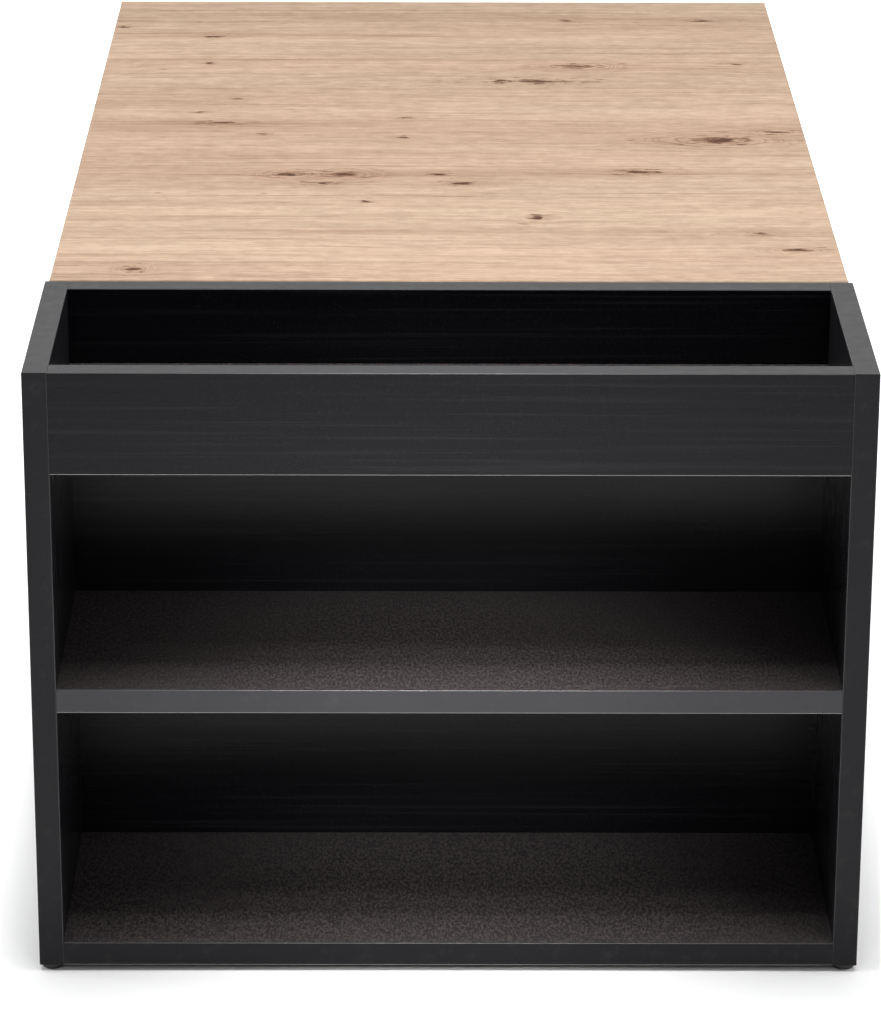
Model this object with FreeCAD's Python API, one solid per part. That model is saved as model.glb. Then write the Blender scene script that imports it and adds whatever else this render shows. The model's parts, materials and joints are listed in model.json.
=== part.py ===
"""Lift top coffee table with an open tray and two end shelves.

A narrow shelf cabinet stands at one end of a storage chest. The chest's oak top is carried by two
parallelogram linkages, so it rises and moves sideways while it stays level.

Frame: millimetres, origin on the floor at the middle of the footprint. +Z is up, +Y runs along the
table from the shelf end to the far end, and +X is the side that the top comes out over.
"""

import FreeCAD
import Part
import math
import os

from FreeCAD import Vector

# Driving dimensions
WIDTH = 600.0  # overall, along X
LENGTH = 1060.0  # overall, along Y
HEIGHT = 464.0  # floor to table surface
BOARD = 18.0  # thickness of every board
CABINET_DEPTH = 210.0  # shelf cabinet, along Y
GLIDE_HEIGHT = 5.0  # the boards stand this far above the floor
TRAY_DEPTH = 58.0  # rim to tray floor
SHELF_TOP = 224.0  # height of the middle shelf's upper face
TOP_SIDE_INSET = 3.0  # the oak top is this much narrower than the chest on each side
TOP_END_GAP = 3.0  # gap between the shelf cabinet and the oak top
BUMPER_HEIGHT = 3.0  # gap between the chest's rim and the oak top

# Edge banding
BAND = 1.0
BAND_ROUND = 0.9
TOP_BAND = 2.0
TOP_BAND_ROUND = 1.5

# Board joints
CAM_RADIUS = 7.5
CAM_DEPTH = 12.5
CAM_SETBACK = 24.0  # board end to cam centre
CAM_CHANNEL_RADIUS = 4.0
BOLT_SHANK_RADIUS = 3.5
BOLT_THREAD_RADIUS = 2.5
BOLT_THREAD_LENGTH = 11.0
DOWEL_RADIUS = 4.0
DOWEL_IN_FACE = 11.0
DOWEL_IN_END = 19.0
DOWEL_CHAMFER = 0.8
FIT_GAP = 0.05  # radial play of dowels, bolts and cams in the boards
BLIND_GAP = 0.5  # free depth at the bottom of a blind hole
CABINET_CAM_INSET = 40.0  # cabinet cams from the front face and from the back board
SHELF_DOWEL_X = 150.0
BACK_CAM_HEIGHTS = (70.0, 300.0, HEIGHT - 27.0)
BACK_DOWEL_HEIGHTS = (130.0, 360.0)
RAIL_DOWEL_INSETS = (14.0, 16.0)  # from the rail's lower and upper edge
CHEST_CAM_HEIGHTS = (90.0, 300.0)
CHEST_DOWEL_HEIGHTS = (50.0, 200.0, HEIGHT - 57.0)
CHEST_FLOOR_CAM_INSET = 62.0
CHEST_FLOOR_DOWEL_SPREAD = 180.0
CAP_THICK = 1.2
CAP_OVERLAP = 1.5  # a cap is this much larger in radius than its cam

# Screws, glides and bumpers
SCREW_RADIUS = 2.0
SCREW_HEAD_RADIUS = 3.8
SCREW_HEAD_THICK = 1.9
SCREW_TIP_LENGTH = 3.0
SCREW_TIP_RADIUS = 0.5
SCREW_KEY_RADIUS = 1.2
JOIN_SCREW_LENGTH = 32.0
JOIN_SCREW_X = 220.0
JOIN_SCREW_HEIGHTS = (90.0, 290.0)
PLATE_SCREW_LENGTH = 15.0
BRACKET_SCREW_LENGTH = 14.0
GLIDE_RADIUS = 8.5
GLIDE_ROUND = 2.5
GLIDE_INSET = 10.0  # glide centre from a board's free end
GLIDE_OFF_MIDDLE = 50.0  # keeps the middle glides clear of the cam bolts
NAIL_RADIUS = 0.9
NAIL_LENGTH = 14.0
NAIL_IN_GLIDE = 1.5
BUMPER_RADIUS = 5.0
BUMPER_ROUND = 0.9
BUMPER_INSET = 50.0

# Lift linkage, seen along Y: X forwards, Z up
ARM_LENGTH = 220.0  # pivot to pivot
ARM_CLOSED_DEG = 172.0  # direction of both arms from base to top, closed
LIFT_DEG = 117.0  # turn from closed to open
ARM_OPEN_DEG = ARM_CLOSED_DEG - LIFT_DEG
ARM_WIDTH = 22.0
ARM_THICK = 4.0
BOSS_RADIUS = 13.0
FRONT_PIVOT_X = 200.0
PIVOT_SPACING = 75.0  # rear pivot to front pivot
PIVOT_SPACING_DEG = 20.0
TOP_PIVOT_DROP = 14.0  # front top pivot below the oak top
PLATE_THICK = 2.5
WASHER_THICK = 2.2
WASHER_RADIUS = 9.0
AXIAL_GAP = 0.3
PIN_RADIUS = 4.0
PIN_HEAD_RADIUS = 8.0
PIN_HEAD_THICK = 1.7
PIN_CLEARANCE = 0.08  # radial play of an arm on its pin
LEVER_LENGTH = 36.0  # rear base pivot to spring pin
SPRING_PIN_RADIUS = 3.0
SPRING_PIN_HEAD_RADIUS = 5.0
SPRING_ANCHOR_X = -62.0
SPRING_RADIUS = 6.4  # middle of the wire
SPRING_WIRE_RADIUS = 1.1
SPRING_TURNS = 24
SPRING_HOOK_RADIUS = 4.4
SYNC_TUBE_RADIUS = 9.0
SYNC_TUBE_WALL = 1.5
TUBE_BOLT_RADIUS = 3.0
TUBE_BOLT_HEAD_RADIUS = 6.0
TUBE_BOLT_HEAD_THICK = 1.8
PLUG_LENGTH = 18.0
STOP_ALONG = 42.0  # base pivot to stop, along the open arm
STOP_PIN_RADIUS = 4.0
STOP_SLEEVE_RADIUS = 6.5
RIB_WIDTH = 7.0
RIB_DEPTH = 1.2

# Base plate: places along X, and drops below the table surface
PLATE_FRONT_X = 256.0
PLATE_STEP_X = 104.0
PLATE_REAR_X = -82.0
PLATE_TOP_Z = HEIGHT - 27.0
PLATE_STEP_Z = HEIGHT - 91.0
PLATE_BOTTOM_Z = HEIGHT - 125.0
PLATE_CORNER = 9.0
PLATE_SCREWS = ((152.0, 40.0), (242.0, 105.0), (168.0, 113.0), (60.0, 100.0), (-30.0, 116.0))
SCREW_SLOT_RADIUS = 2.2  # screw holes in the plates and brackets

# Top bracket
BRACKET_REAR_X = -140.0
BRACKET_FRONT_X = 44.0
BRACKET_FLANGE = 24.0
BRACKET_SKIRT = 14.0  # depth of the upright flange at its ends
BRACKET_SCREWS_X = (-128.0, -52.0, 32.0)

# Derived places
X_OUT = WIDTH / 2
X_IN = X_OUT - BOARD
Y_FRONT = -LENGTH / 2
Y_FAR = LENGTH / 2
Y_CABINET_BACK = Y_FRONT + CABINET_DEPTH
Y_SHELF_BACK = Y_CABINET_BACK - BOARD
Y_CHEST_NEAR = Y_CABINET_BACK + BOARD  # inner face of the chest's near end
Y_CHEST_FAR = Y_FAR - BOARD  # inner face of the chest's far end
Y_CHEST_MID = (Y_CHEST_NEAR + Y_CHEST_FAR) / 2
Z_BASE = GLIDE_HEIGHT
Z_FLOOR = Z_BASE + BOARD  # upper face of the bottom boards
Z_TRAY = HEIGHT - TRAY_DEPTH
Z_RAIL = Z_TRAY - BOARD  # lower edge of the tray's front rail
Z_TOP_UNDER = HEIGHT - BOARD
Z_CHEST_RIM = Z_TOP_UNDER - BUMPER_HEIGHT

FRONT_TOP_PIVOT_Z = Z_TOP_UNDER - TOP_PIVOT_DROP

# Planes of the near linkage along Y, from the chest's end board inwards
Y_PLATE = Y_CHEST_NEAR
Y_WASHER = Y_PLATE + PLATE_THICK
Y_ARM = Y_WASHER + WASHER_THICK + AXIAL_GAP
Y_ARM_INNER = Y_ARM + ARM_THICK
Y_BRACKET = Y_ARM_INNER + AXIAL_GAP + WASHER_THICK
Y_BRACKET_INNER = Y_BRACKET + PLATE_THICK
Y_SPRING = Y_ARM_INNER + 9.0
Y_SPRING_PIN_END = Y_SPRING + 5.0

X_AXIS = Vector(1, 0, 0)
Y_AXIS = Vector(0, 1, 0)
Z_AXIS = Vector(0, 0, 1)


def direction(degrees):
    """Unit vector in the XZ plane, measured from +X towards +Z."""
    turn = math.radians(degrees)
    return Vector(math.cos(turn), 0, math.sin(turn))


def at_y(point, y):
    """The same X and Z at another Y."""
    return Vector(point.x, y, point.z)


SPACING = direction(PIVOT_SPACING_DEG) * PIVOT_SPACING
FRONT_PIVOT = Vector(FRONT_PIVOT_X, 0, FRONT_TOP_PIVOT_Z) - Vector(
    0, 0, ARM_LENGTH * math.sin(math.radians(ARM_CLOSED_DEG))
)
REAR_PIVOT = FRONT_PIVOT - SPACING
ARM_SPAN = direction(ARM_CLOSED_DEG) * ARM_LENGTH
FRONT_TOP_PIVOT = FRONT_PIVOT + ARM_SPAN
REAR_TOP_PIVOT = REAR_PIVOT + ARM_SPAN
LEVER_CLOSED_DEG = -90 + LIFT_DEG / 2  # the spring pin stands level at both ends of its travel
SPRING_PIN = REAR_PIVOT + direction(LEVER_CLOSED_DEG) * LEVER_LENGTH
SPRING_ANCHOR = Vector(SPRING_ANCHOR_X, 0, SPRING_PIN.z)
SYNC_PLACE = FRONT_PIVOT + ARM_SPAN * 0.5
OPEN_ARM = direction(ARM_OPEN_DEG)
OPEN_ARM_UNDERSIDE = Vector(OPEN_ARM.z, 0, -OPEN_ARM.x)
STOP_PLACE = (
    FRONT_PIVOT
    + OPEN_ARM * STOP_ALONG
    + OPEN_ARM_UNDERSIDE * (ARM_WIDTH / 2 + STOP_SLEEVE_RADIUS + AXIAL_GAP)
)


# ---------------------------------------------------------------- small shapes


def block(x0, x1, y0, y1, z0, z1):
    return Part.makeBox(x1 - x0, y1 - y0, z1 - z0, Vector(x0, y0, z0))


def round_bar(start, axis, radius, length):
    return Part.makeCylinder(radius, length, start, axis)


def along_y(point, y0, y1, radius):
    """Round bar along Y through a point of the XZ plane."""
    return round_bar(at_y(point, y0), Y_AXIS, radius, y1 - y0)


def ring_along_y(point, y0, y1, outer, inner):
    return along_y(point, y0, y1, outer).cut(along_y(point, y0, y1, inner))


def mirrored(shape):
    """The same shape on the far side of the chest."""
    return shape.mirror(Vector(0, Y_CHEST_MID, 0), Y_AXIS)


def with_far_side(shapes):
    """Near shapes with their mirror images at the far end."""
    return shapes + [mirrored(shape) for shape in shapes]


def group(shapes):
    return Part.makeCompound([solid for shape in shapes for solid in shape.Solids])


def edges_along(shape, axis):
    """Straight edges parallel to an axis."""
    return [
        edge
        for edge in shape.Edges
        if abs((edge.Vertexes[-1].Point - edge.Vertexes[0].Point).normalize().dot(axis)) > 0.999
    ]


# ---------------------------------------------------------------- boards with banded edges


class Board:
    """A rectangular board: its core, the bands on its edges, and the holes drilled into it."""

    AXES = {"x": 0, "y": 1, "z": 2}

    def __init__(self, low, high, bands=(), band=BAND, rounding=BAND_ROUND):
        self.low = list(low)
        self.high = list(high)
        self.holes = []
        self.bands = [self.add_band(face, band, rounding) for face in bands]

    def add_band(self, face, thickness, rounding):
        """Takes a strip off the core on one face, such as "-y", and returns the band there."""
        axis = self.AXES[face[1]]
        low = list(self.low)
        high = list(self.high)
        if face[0] == "+":
            self.high[axis] -= thickness
            low[axis] = self.high[axis]
            outer = high[axis]
        else:
            self.low[axis] += thickness
            high[axis] = self.low[axis]
            outer = low[axis]
        strip = block(low[0], high[0], low[1], high[1], low[2], high[2])
        sizes = [high[i] - low[i] for i in range(3)]
        longest = sizes.index(max(sizes))
        run = Vector(*[1.0 if i == longest else 0.0 for i in range(3)])
        arrises = [
            edge
            for edge in edges_along(strip, run)
            if all(abs(vertex.Point[axis] - outer) < 1e-6 for vertex in edge.Vertexes)
        ]
        return strip.makeFillet(rounding, arrises)

    def drill(self, *holes):
        self.holes.extend(holes)

    def core(self):
        shape = block(self.low[0], self.high[0], self.low[1], self.high[1], self.low[2], self.high[2])
        return shape.cut(self.holes) if self.holes else shape


def make_boards():
    """Every board of the cabinet and the chest, by name."""
    boards = {}
    for name, x0, x1 in (("left", -X_OUT, -X_IN), ("right", X_IN, X_OUT)):
        boards[f"cabinet_side_{name}"] = Board(
            (x0, Y_FRONT, Z_BASE), (x1, Y_CABINET_BACK, HEIGHT), ("+z", "-y", "+y")
        )
    for name, x0, x1 in (("rear", -X_OUT, -X_IN), ("front", X_IN, X_OUT)):
        boards[f"chest_{name}_side"] = Board(
            (x0, Y_CABINET_BACK, Z_BASE), (x1, Y_FAR, Z_CHEST_RIM), ("+z", "-y", "+y")
        )
    across = {
        "cabinet_back": ((Y_SHELF_BACK, Y_CABINET_BACK), (Z_BASE, HEIGHT), ("+z",)),
        "cabinet_bottom": ((Y_FRONT, Y_SHELF_BACK), (Z_BASE, Z_FLOOR), ("-y",)),
        "middle_shelf": ((Y_FRONT, Y_SHELF_BACK), (SHELF_TOP - BOARD, SHELF_TOP), ("-y",)),
        "tray_floor": ((Y_FRONT + BOARD, Y_SHELF_BACK), (Z_RAIL, Z_TRAY), ()),
        "tray_front_rail": ((Y_FRONT, Y_FRONT + BOARD), (Z_RAIL, HEIGHT), ("+z", "-z")),
        "chest_near_end": ((Y_CABINET_BACK, Y_CHEST_NEAR), (Z_BASE, Z_CHEST_RIM), ("+z",)),
        "chest_far_end": ((Y_CHEST_FAR, Y_FAR), (Z_BASE, Z_CHEST_RIM), ("+z",)),
        "chest_floor": ((Y_CHEST_NEAR, Y_CHEST_FAR), (Z_BASE, Z_FLOOR), ()),
    }
    for name, (y, z, bands) in across.items():
        boards[name] = Board((-X_IN, y[0], z[0]), (X_IN, y[1], z[1]), bands)
    return boards


# ---------------------------------------------------------------- cam locks and dowels


def cam_lock(seat, inward, cam_side):
    """Cam, bolt, and the holes for them in the board and in the panel that it meets.

    seat is on the plane where the board's end meets the panel, in the middle of its thickness.
    inward points into the board, and cam_side points at the face that the cam is pushed in from.
    """
    half = BOARD / 2
    centre = seat + inward * CAM_SETBACK
    mouth = centre + cam_side * half
    into = cam_side * -1.0
    cam = round_bar(mouth, into, CAM_RADIUS - FIT_GAP, CAM_DEPTH - BLIND_GAP)
    catch_depth = 4.0
    cam = cam.cut(
        round_bar(
            seat + inward * (CAM_SETBACK - CAM_RADIUS - 1),
            inward,
            CAM_CHANNEL_RADIUS,
            CAM_RADIUS + 1 + catch_depth,
        )
    )
    slot_length, slot_width, slot_depth = 8.0, 1.4, 2.5
    across = inward.cross(cam_side)
    for run, side in ((inward, across), (across, inward)):
        corner = mouth - run * (slot_length / 2) - side * (slot_width / 2)
        slot = Part.makePolygon(
            [
                corner,
                corner + run * slot_length,
                corner + run * slot_length + side * slot_width,
                corner + side * slot_width,
                corner,
            ]
        )
        cam = cam.cut(Part.Face(slot).extrude(into * slot_depth))
    neck_start = CAM_SETBACK - CAM_RADIUS + 1.5
    head_start = CAM_SETBACK - 1.5
    head_length = 4.0
    bolt = round_bar(seat - inward * BOLT_THREAD_LENGTH, inward, BOLT_THREAD_RADIUS, BOLT_THREAD_LENGTH)
    bolt = bolt.fuse(round_bar(seat, inward, BOLT_SHANK_RADIUS, neck_start))
    bolt = bolt.fuse(round_bar(seat + inward * neck_start, inward, 2.0, head_start - neck_start))
    bolt = bolt.fuse(round_bar(seat + inward * head_start, inward, 3.2, head_length))
    board_hole = round_bar(seat, inward, CAM_CHANNEL_RADIUS, CAM_SETBACK).fuse(
        round_bar(mouth, into, CAM_RADIUS, CAM_DEPTH)
    )
    panel_hole = round_bar(
        seat, inward * -1.0, BOLT_THREAD_RADIUS + FIT_GAP, BOLT_THREAD_LENGTH + BLIND_GAP
    )
    return cam, bolt, board_hole, panel_hole


def dowel_joint(seat, inward):
    """Dowel and its two holes: one in the board's end and one in the panel's face."""
    dowel = round_bar(
        seat - inward * DOWEL_IN_FACE, inward, DOWEL_RADIUS, DOWEL_IN_FACE + DOWEL_IN_END
    )
    ends = [edge for edge in dowel.Edges if len(edge.Vertexes) == 1]
    dowel = dowel.makeChamfer(DOWEL_CHAMFER, ends)
    board_hole = round_bar(seat, inward, DOWEL_RADIUS + FIT_GAP, DOWEL_IN_END + BLIND_GAP)
    panel_hole = round_bar(
        seat, inward * -1.0, DOWEL_RADIUS + FIT_GAP, DOWEL_IN_FACE + BLIND_GAP
    )
    return dowel, board_hole, panel_hole


class Joinery:
    """Collects the fittings of one unit while it drills its boards."""

    def __init__(self, boards):
        self.boards = boards
        self.cams = []
        self.bolts = []
        self.dowels = []

    def cam(self, board, panel, seat, inward, cam_side):
        cam, bolt, board_hole, panel_hole = cam_lock(seat, inward, cam_side)
        self.boards[board].drill(board_hole)
        self.boards[panel].drill(panel_hole)
        self.cams.append(cam)
        self.bolts.append(bolt)

    def dowel(self, board, panel, seat, inward):
        dowel, board_hole, panel_hole = dowel_joint(seat, inward)
        self.boards[board].drill(board_hole)
        self.boards[panel].drill(panel_hole)
        self.dowels.append(dowel)

    def both_sides(self, board, panels, seats, cam_side, dowel_seats):
        """Fixes both ends of a cross board to the two side panels."""
        for sign, panel in zip((-1, 1), panels):
            inward = X_AXIS * -sign
            for y, z in seats:
                self.cam(board, panel, Vector(sign * X_IN, y, z), inward, cam_side)
            for y, z in dowel_seats:
                self.dowel(board, panel, Vector(sign * X_IN, y, z), inward)


def join_cabinet(boards):
    work = Joinery(boards)
    sides = ("cabinet_side_left", "cabinet_side_right")
    half = BOARD / 2
    y_front, y_back = Y_FRONT + CABINET_CAM_INSET, Y_SHELF_BACK - CABINET_CAM_INSET
    y_mid = (y_front + y_back) / 2
    for name in ("cabinet_bottom", "middle_shelf", "tray_floor"):
        z = (boards[name].low[2] + boards[name].high[2]) / 2
        work.both_sides(name, sides, ((y_front, z), (y_back, z)), Z_AXIS * -1.0, ((y_mid, z),))
        for x in (-SHELF_DOWEL_X, SHELF_DOWEL_X):
            seat = Vector(x, Y_SHELF_BACK, z)
            work.dowel(name, "cabinet_back", seat, Y_AXIS * -1.0)
    y = Y_SHELF_BACK + half
    heights = [(y, z) for z in BACK_CAM_HEIGHTS]
    dowels = [(y, z) for z in BACK_DOWEL_HEIGHTS]
    work.both_sides("cabinet_back", sides, heights, Y_AXIS, dowels)
    y = Y_FRONT + half
    low_inset, high_inset = RAIL_DOWEL_INSETS
    rail_dowels = [(y, Z_RAIL + low_inset), (y, HEIGHT - high_inset)]
    work.both_sides("tray_front_rail", sides, (), Y_AXIS, rail_dowels)
    return work


def join_chest(boards):
    work = Joinery(boards)
    sides = ("chest_rear_side", "chest_front_side")
    half = BOARD / 2
    z = Z_BASE + half
    ends = (Y_CHEST_NEAR + CHEST_FLOOR_CAM_INSET, Y_CHEST_FAR - CHEST_FLOOR_CAM_INSET)
    seats = [(y, z) for y in (ends[0], Y_CHEST_MID, ends[1])]
    dowels = [(Y_CHEST_MID + sign * CHEST_FLOOR_DOWEL_SPREAD, z) for sign in (-1, 1)]
    work.both_sides("chest_floor", sides, seats, Z_AXIS * -1.0, dowels)
    for name, y, cam_side in (
        ("chest_near_end", Y_CABINET_BACK + half, Y_AXIS * -1.0),
        ("chest_far_end", Y_CHEST_FAR + half, Y_AXIS * -1.0),
    ):
        seats = [(y, z) for z in CHEST_CAM_HEIGHTS]
        work.both_sides(name, sides, seats, cam_side, [(y, z) for z in CHEST_DOWEL_HEIGHTS])
    for x in (-CHEST_FLOOR_DOWEL_SPREAD, 0.0, CHEST_FLOOR_DOWEL_SPREAD):
        seat = Vector(x, Y_CHEST_NEAR, Z_BASE + half)
        work.dowel("chest_floor", "chest_near_end", seat, Y_AXIS)
        seat = Vector(x, Y_CHEST_FAR, Z_BASE + half)
        work.dowel("chest_floor", "chest_far_end", seat, Y_AXIS * -1.0)
    return work


def cam_cover_caps():
    """Push-in caps over the cams that show inside the chest, on its far end board."""
    caps = []
    for sign in (-1, 1):
        for z in CHEST_CAM_HEIGHTS:
            centre = Vector(sign * (X_IN - CAM_SETBACK), Y_CHEST_FAR - CAP_THICK, z)
            cap = round_bar(centre, Y_AXIS, CAM_RADIUS + CAP_OVERLAP, CAP_THICK)
            rim = [
                edge
                for edge in cap.Edges
                if len(edge.Vertexes) == 1 and abs(edge.Vertexes[0].Y - centre.y) < 1e-6
            ]
            caps.append(cap.makeFillet(0.8, rim))
    return caps


# ---------------------------------------------------------------- screws, glides and bumpers


def wood_screw(seat, axis, length):
    """Pan head screw. seat is where the head's underside rests, and axis points into the wood."""
    head_top = seat - axis * SCREW_HEAD_THICK
    head = round_bar(head_top, axis, SCREW_HEAD_RADIUS, SCREW_HEAD_THICK)
    crown = [edge for edge in head.Edges if len(edge.Vertexes) == 1]
    crown = [edge for edge in crown if (edge.Vertexes[0].Point - seat).dot(axis) < -1.0]
    head = head.makeFillet(SCREW_HEAD_THICK * 0.6, crown)
    socket = round_bar(head_top, axis, SCREW_KEY_RADIUS, SCREW_KEY_RADIUS)
    shank_length = length - SCREW_TIP_LENGTH
    shank = round_bar(seat, axis, SCREW_RADIUS, shank_length)
    tip_start = seat + axis * shank_length
    tip = Part.makeCone(SCREW_RADIUS, SCREW_TIP_RADIUS, SCREW_TIP_LENGTH, tip_start, axis)
    return head.cut(socket).fuse([shank, tip])


def screw_hole(seat, axis, length):
    return round_bar(seat, axis, SCREW_RADIUS + FIT_GAP, length + BLIND_GAP)


def glide_places():
    rows = (
        Y_FRONT + GLIDE_INSET,
        Y_CABINET_BACK - GLIDE_INSET,
        Y_CABINET_BACK + GLIDE_INSET,
        Y_CHEST_MID + GLIDE_OFF_MIDDLE,
        Y_FAR - GLIDE_INSET,
    )
    for x in (-X_OUT + BOARD / 2, X_OUT - BOARD / 2):
        for y in rows:
            yield Vector(x, y, Z_BASE)


def glide(place):
    disc = Part.makeCylinder(GLIDE_RADIUS, GLIDE_HEIGHT, place - Z_AXIS * GLIDE_HEIGHT, Z_AXIS)
    foot = [edge for edge in disc.Edges if len(edge.Vertexes) == 1 and edge.Vertexes[0].Z < 0.01]
    disc = disc.makeFillet(GLIDE_ROUND, foot)
    nail_space = round_bar(place - Z_AXIS * NAIL_IN_GLIDE, Z_AXIS, NAIL_RADIUS, NAIL_IN_GLIDE)
    return disc.cut(nail_space)


def glide_nail(place):
    start = place - Z_AXIS * NAIL_IN_GLIDE
    return round_bar(start, Z_AXIS, NAIL_RADIUS, NAIL_LENGTH + NAIL_IN_GLIDE)


def bumpers():
    pads = []
    rows = (Y_CABINET_BACK + BUMPER_INSET, Y_CHEST_MID, Y_FAR - BUMPER_INSET)
    for x in (-X_OUT + BOARD / 2, X_OUT - BOARD / 2):
        for y in rows:
            pad = round_bar(Vector(x, y, Z_CHEST_RIM), Z_AXIS, BUMPER_RADIUS, BUMPER_HEIGHT)
            rim = [
                edge
                for edge in pad.Edges
                if len(edge.Vertexes) == 1 and edge.Vertexes[0].Z > Z_CHEST_RIM + 1
            ]
            pads.append(pad.makeFillet(BUMPER_ROUND, rim))
    return pads


def unit_screw_seats():
    """Where screws go from the chest through its near end into the cabinet's back."""
    for x in (-JOIN_SCREW_X, 0.0, JOIN_SCREW_X):
        for z in JOIN_SCREW_HEIGHTS:
            yield Vector(x, Y_CHEST_NEAR, z)


# ---------------------------------------------------------------- lift linkage, near side


def straight_bar(start, end, y0, y1, width):
    """Flat bar between two points of the XZ plane."""
    run = (end - start).normalize()
    side = Vector(run.z, 0, -run.x) * (width / 2)
    corners = [start + side, end + side, end - side, start - side, start + side]
    face = Part.Face(Part.makePolygon([at_y(corner, y0) for corner in corners]))
    return face.extrude(Y_AXIS * (y1 - y0))


def pressed_rib(start, end, y_face):
    """Shallow stiffening groove pressed into the inner face of an arm."""
    y_bottom = y_face - RIB_DEPTH
    groove = straight_bar(start, end, y_bottom, y_face, RIB_WIDTH)
    for point in (start, end):
        groove = groove.fuse(along_y(point, y_bottom, y_face, RIB_WIDTH / 2))
    return groove.removeSplitter()


def plain_arm(start, end):
    """Arm with a boss and a running hole at each end."""
    arm = straight_bar(start, end, Y_ARM, Y_ARM_INNER, ARM_WIDTH)
    for point in (start, end):
        arm = arm.fuse(along_y(point, Y_ARM, Y_ARM_INNER, BOSS_RADIUS))
    for point in (start, end):
        arm = arm.cut(along_y(point, Y_ARM, Y_ARM_INNER, PIN_RADIUS + PIN_CLEARANCE))
    return arm.removeSplitter()


def front_arm():
    arm = plain_arm(FRONT_PIVOT, FRONT_TOP_PIVOT)
    arm = arm.cut(along_y(SYNC_PLACE, Y_ARM, Y_ARM_INNER, TUBE_BOLT_RADIUS))
    for near, far in ((0.14, 0.38), (0.62, 0.86)):
        start = FRONT_PIVOT + ARM_SPAN * near
        end = FRONT_PIVOT + ARM_SPAN * far
        arm = arm.cut(pressed_rib(start, end, Y_ARM_INNER))
    return arm


def rear_arm():
    """The rear arm runs on past its base pivot as a short lever for the spring."""
    arm = plain_arm(REAR_PIVOT, REAR_TOP_PIVOT)
    lever = straight_bar(REAR_PIVOT, SPRING_PIN, Y_ARM, Y_ARM_INNER, 16.0)
    lever = lever.fuse(along_y(SPRING_PIN, Y_ARM, Y_ARM_INNER, 8.0))
    arm = arm.fuse(lever)
    arm = arm.cut(along_y(REAR_PIVOT, Y_ARM, Y_ARM_INNER, PIN_RADIUS + PIN_CLEARANCE))
    arm = arm.cut(along_y(SPRING_PIN, Y_ARM, Y_ARM_INNER, SPRING_PIN_RADIUS))
    start = REAR_PIVOT + ARM_SPAN * 0.14
    end = REAR_PIVOT + ARM_SPAN * 0.86
    return arm.cut(pressed_rib(start, end, Y_ARM_INNER)).removeSplitter()


def plate_screw_seats():
    for x, drop in PLATE_SCREWS:
        yield Vector(x, Y_WASHER, HEIGHT - drop)


def base_plate():
    """L-shaped plate on the chest's end board. It holds both base pivots, the stop and the spring."""
    outline = [
        (PLATE_FRONT_X, PLATE_BOTTOM_Z),
        (PLATE_FRONT_X, PLATE_TOP_Z),
        (PLATE_STEP_X, PLATE_TOP_Z),
        (PLATE_STEP_X, PLATE_STEP_Z),
        (PLATE_REAR_X, PLATE_STEP_Z),
        (PLATE_REAR_X, PLATE_BOTTOM_Z),
    ]
    points = [Vector(x, Y_PLATE, z) for x, z in outline + outline[:1]]
    plate = Part.Face(Part.makePolygon(points)).extrude(Y_AXIS * PLATE_THICK)
    plate = plate.makeFillet(PLATE_CORNER, edges_along(plate, Y_AXIS))
    holes = [along_y(point, Y_PLATE, Y_WASHER, PIN_RADIUS) for point in (FRONT_PIVOT, REAR_PIVOT)]
    holes.append(along_y(STOP_PLACE, Y_PLATE, Y_WASHER, STOP_PIN_RADIUS))
    holes.append(along_y(SPRING_ANCHOR, Y_PLATE, Y_WASHER, SPRING_PIN_RADIUS))
    holes += [
        along_y(seat, Y_PLATE, Y_WASHER, SCREW_SLOT_RADIUS) for seat in plate_screw_seats()
    ]
    return plate.cut(holes)


def base_pivot_pin(point):
    """Riveted flush in the base plate, with its head on the inner side of the arm."""
    head_start = Y_ARM_INNER + AXIAL_GAP
    shank = along_y(point, Y_PLATE, head_start, PIN_RADIUS)
    return shank.fuse(along_y(point, head_start, head_start + PIN_HEAD_THICK, PIN_HEAD_RADIUS))


def top_pivot_pin(point):
    """Riveted in the top bracket, with its head on the outer side of the arm."""
    head_end = Y_ARM - AXIAL_GAP
    rivet_end = Y_BRACKET_INNER + 1.4
    head = along_y(point, head_end - PIN_HEAD_THICK, head_end, PIN_HEAD_RADIUS)
    shank = along_y(point, head_end, Y_BRACKET_INNER, PIN_RADIUS)
    rivet = along_y(point, Y_BRACKET_INNER, rivet_end, PIN_RADIUS + 2.0)
    return head.fuse([shank, rivet])


def spring_pin(point, y_start):
    """Spring post with a head that keeps the hook on."""
    head = along_y(point, Y_SPRING_PIN_END, Y_SPRING_PIN_END + 1.5, SPRING_PIN_HEAD_RADIUS)
    return along_y(point, y_start, Y_SPRING_PIN_END, SPRING_PIN_RADIUS).fuse(head)


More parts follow.
